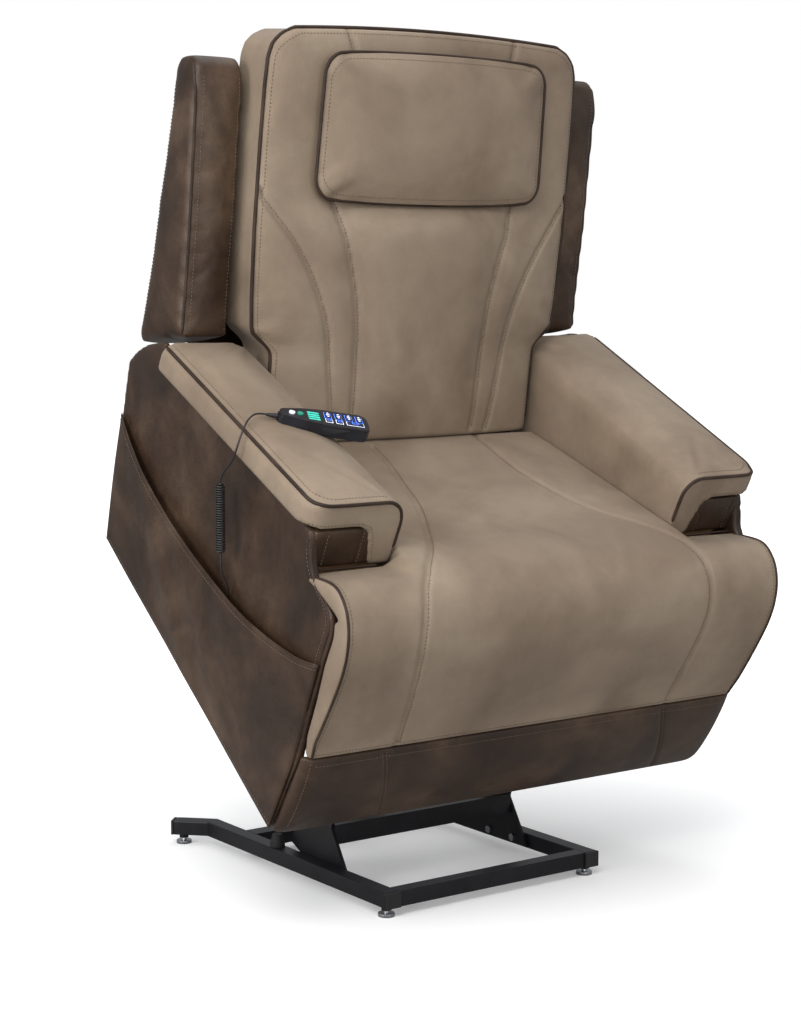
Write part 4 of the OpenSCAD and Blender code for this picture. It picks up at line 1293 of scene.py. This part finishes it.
def build_handset_marks():
    upper = [key_edge(x - KEY_HALF, x + KEY_HALF, -1.7, 16.5) for _, x in ROCKERS]
    glow = joined("handset_key_frames", upper, BLUE_GLOW)
    lower = ((7 - KEY_HALF, 7 + KEY_HALF), (25 - KEY_HALF, 25 + KEY_HALF), (37.7, 66.3))
    pale = joined("handset_lower_frames", [key_edge(x0, x1, -14.8, -4.8) for x0, x1 in lower], WHITE_GLOW)
    pieces_ride([glow, pale], "carriage")
    for name, x in ROCKERS:
        arrows = [[(x - 2.6, y - way * 1.2), (x + 2.6, y - way * 1.2), (x, y + way * 1.6)][::way]
                  for y, way in ((13.2, 1), (1.8, -1))]
        bar = [(x - 2.8, 6.4), (x + 2.8, 6.4), (x + 2.8, 8.4), (x - 2.8, 8.4)]
        marks = joined(name + "_marks", [raised_mark(corners) for corners in (*arrows, bar)], WHITE_GLOW)
        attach(marks, name)
    for name, x, width in SQUARES:
        reach = min(width / 2 - 2.2, 5)
        frame_mark = ring_frame(x - reach, x + reach, -11.6, -8.0, 0.7, MARK_FOOT, MARK_HEIGHT)
        marks = joined(name + "_marks", [frame_mark], BLUE_GLOW)
        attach(marks, name)


build_back()
build_pillow()
build_seat()
build_linings()
build_arm_pads()
build_side_panels()
build_pocket()
build_wings()
build_back_panel()
build_arm_fronts()
build_toe_panel()
build_handset_marks()

# ---------------------------------------------------------------- floor and studio light

floor_data = bpy.data.meshes.new("studio_floor")
floor_data.from_pydata([(-14, -14, 0), (14, -14, 0), (14, 14, 0), (-14, 14, 0)], [], [(0, 1, 2, 3)])
floor = bpy.data.objects.new("studio_floor", floor_data)
scene.collection.objects.link(floor)
floor_material, floor_tree, floor_bsdf = shader("studio_floor")
for key, value in (("Base Color", (0.86, 0.86, 0.86, 1)), ("Roughness", 0.9), ("Specular IOR Level", 0.1),
                   ("Emission Color", (1, 1, 1, 1))):
    floor_bsdf.inputs[key].default_value = value
link = floor_tree.links.new
# The floor's glow is weakest near the chair and rises to full white from 1.9 m out: painted shade that greys
# the floor round the chair, on top of its cast shadow.
far = node(floor_tree, "ShaderNodeVectorMath", operation="LENGTH")
link(floor_tree.nodes.new("ShaderNodeTexCoord").outputs["Object"], far.inputs[0])
glow = node(floor_tree, "ShaderNodeMapRange", interpolation_type="SMOOTHSTEP")
link(far.outputs["Value"], glow.inputs["Value"])
for key, value in (("From Min", 0.3), ("From Max", 1.9), ("To Min", 0.2), ("To Max", 1.0)):
    glow.inputs[key].default_value = value
link(glow.outputs["Result"], floor_bsdf.inputs["Emission Strength"])
# The chair is lit by a greyer floor than the one seen, which keeps its lower front dark
dim = node(floor_tree, "ShaderNodeBsdfDiffuse", Color=(0.42, 0.41, 0.40, 1))
seen = floor_tree.nodes.new("ShaderNodeLightPath")
either = floor_tree.nodes.new("ShaderNodeMixShader")
link(seen.outputs["Is Camera Ray"], either.inputs[0])
link(dim.outputs[0], either.inputs[1])
link(floor_bsdf.outputs[0], either.inputs[2])
link(either.outputs[0], floor_tree.nodes["Material Output"].inputs["Surface"])
floor_data.materials.append(floor_material)

world = bpy.data.worlds.new("studio")
scene.world = world
world.use_nodes = True
sky = world.node_tree
sky.nodes.clear()
link = sky.links.new
surround = node(sky, "ShaderNodeBackground", Strength=0.42, Color=(0.95, 0.97, 1.0, 1))
backdrop = node(sky, "ShaderNodeBackground", Strength=1.0, Color=(1, 1, 1, 1))
path = sky.nodes.new("ShaderNodeLightPath")
choice = sky.nodes.new("ShaderNodeMixShader")
link(path.outputs["Is Camera Ray"], choice.inputs[0])
link(surround.outputs[0], choice.inputs[1])
link(backdrop.outputs[0], choice.inputs[2])
link(choice.outputs[0], sky.nodes.new("ShaderNodeOutputWorld").inputs["Surface"])


def area_light(name, place, aim, size, power, colour=(1, 1, 1)):
    data = bpy.data.lights.new(name, "AREA")
    data.shape = "RECTANGLE"
    data.size, data.size_y = size
    data.energy = power
    data.color = colour
    lamp = bpy.data.objects.new(name, data)
    scene.collection.objects.link(lamp)
    lamp.location = place
    lamp.rotation_euler = (Vector(aim) - Vector(place)).to_track_quat("-Z", "Y").to_euler()


area_light("key", (-2.4, -2.4, 3.4), (0, 0, 0.8), (2.2, 2.2), 104, (1, 0.99, 0.98))
area_light("top", (0.3, 0.2, 3.6), (0, 0, 0.6), (2.8, 2.8), 40)
area_light("side", (-3.6, -0.4, 1.7), (0, 0, 0.8), (1.6, 2.2), 84)
area_light("front", (-0.9, -4.4, 1.5), (0, 0, 0.8), (2.6, 2.0), 50)
area_light("fill", (2.8, -2.4, 1.8), (0, 0, 0.9), (2.4, 2.0), 9)
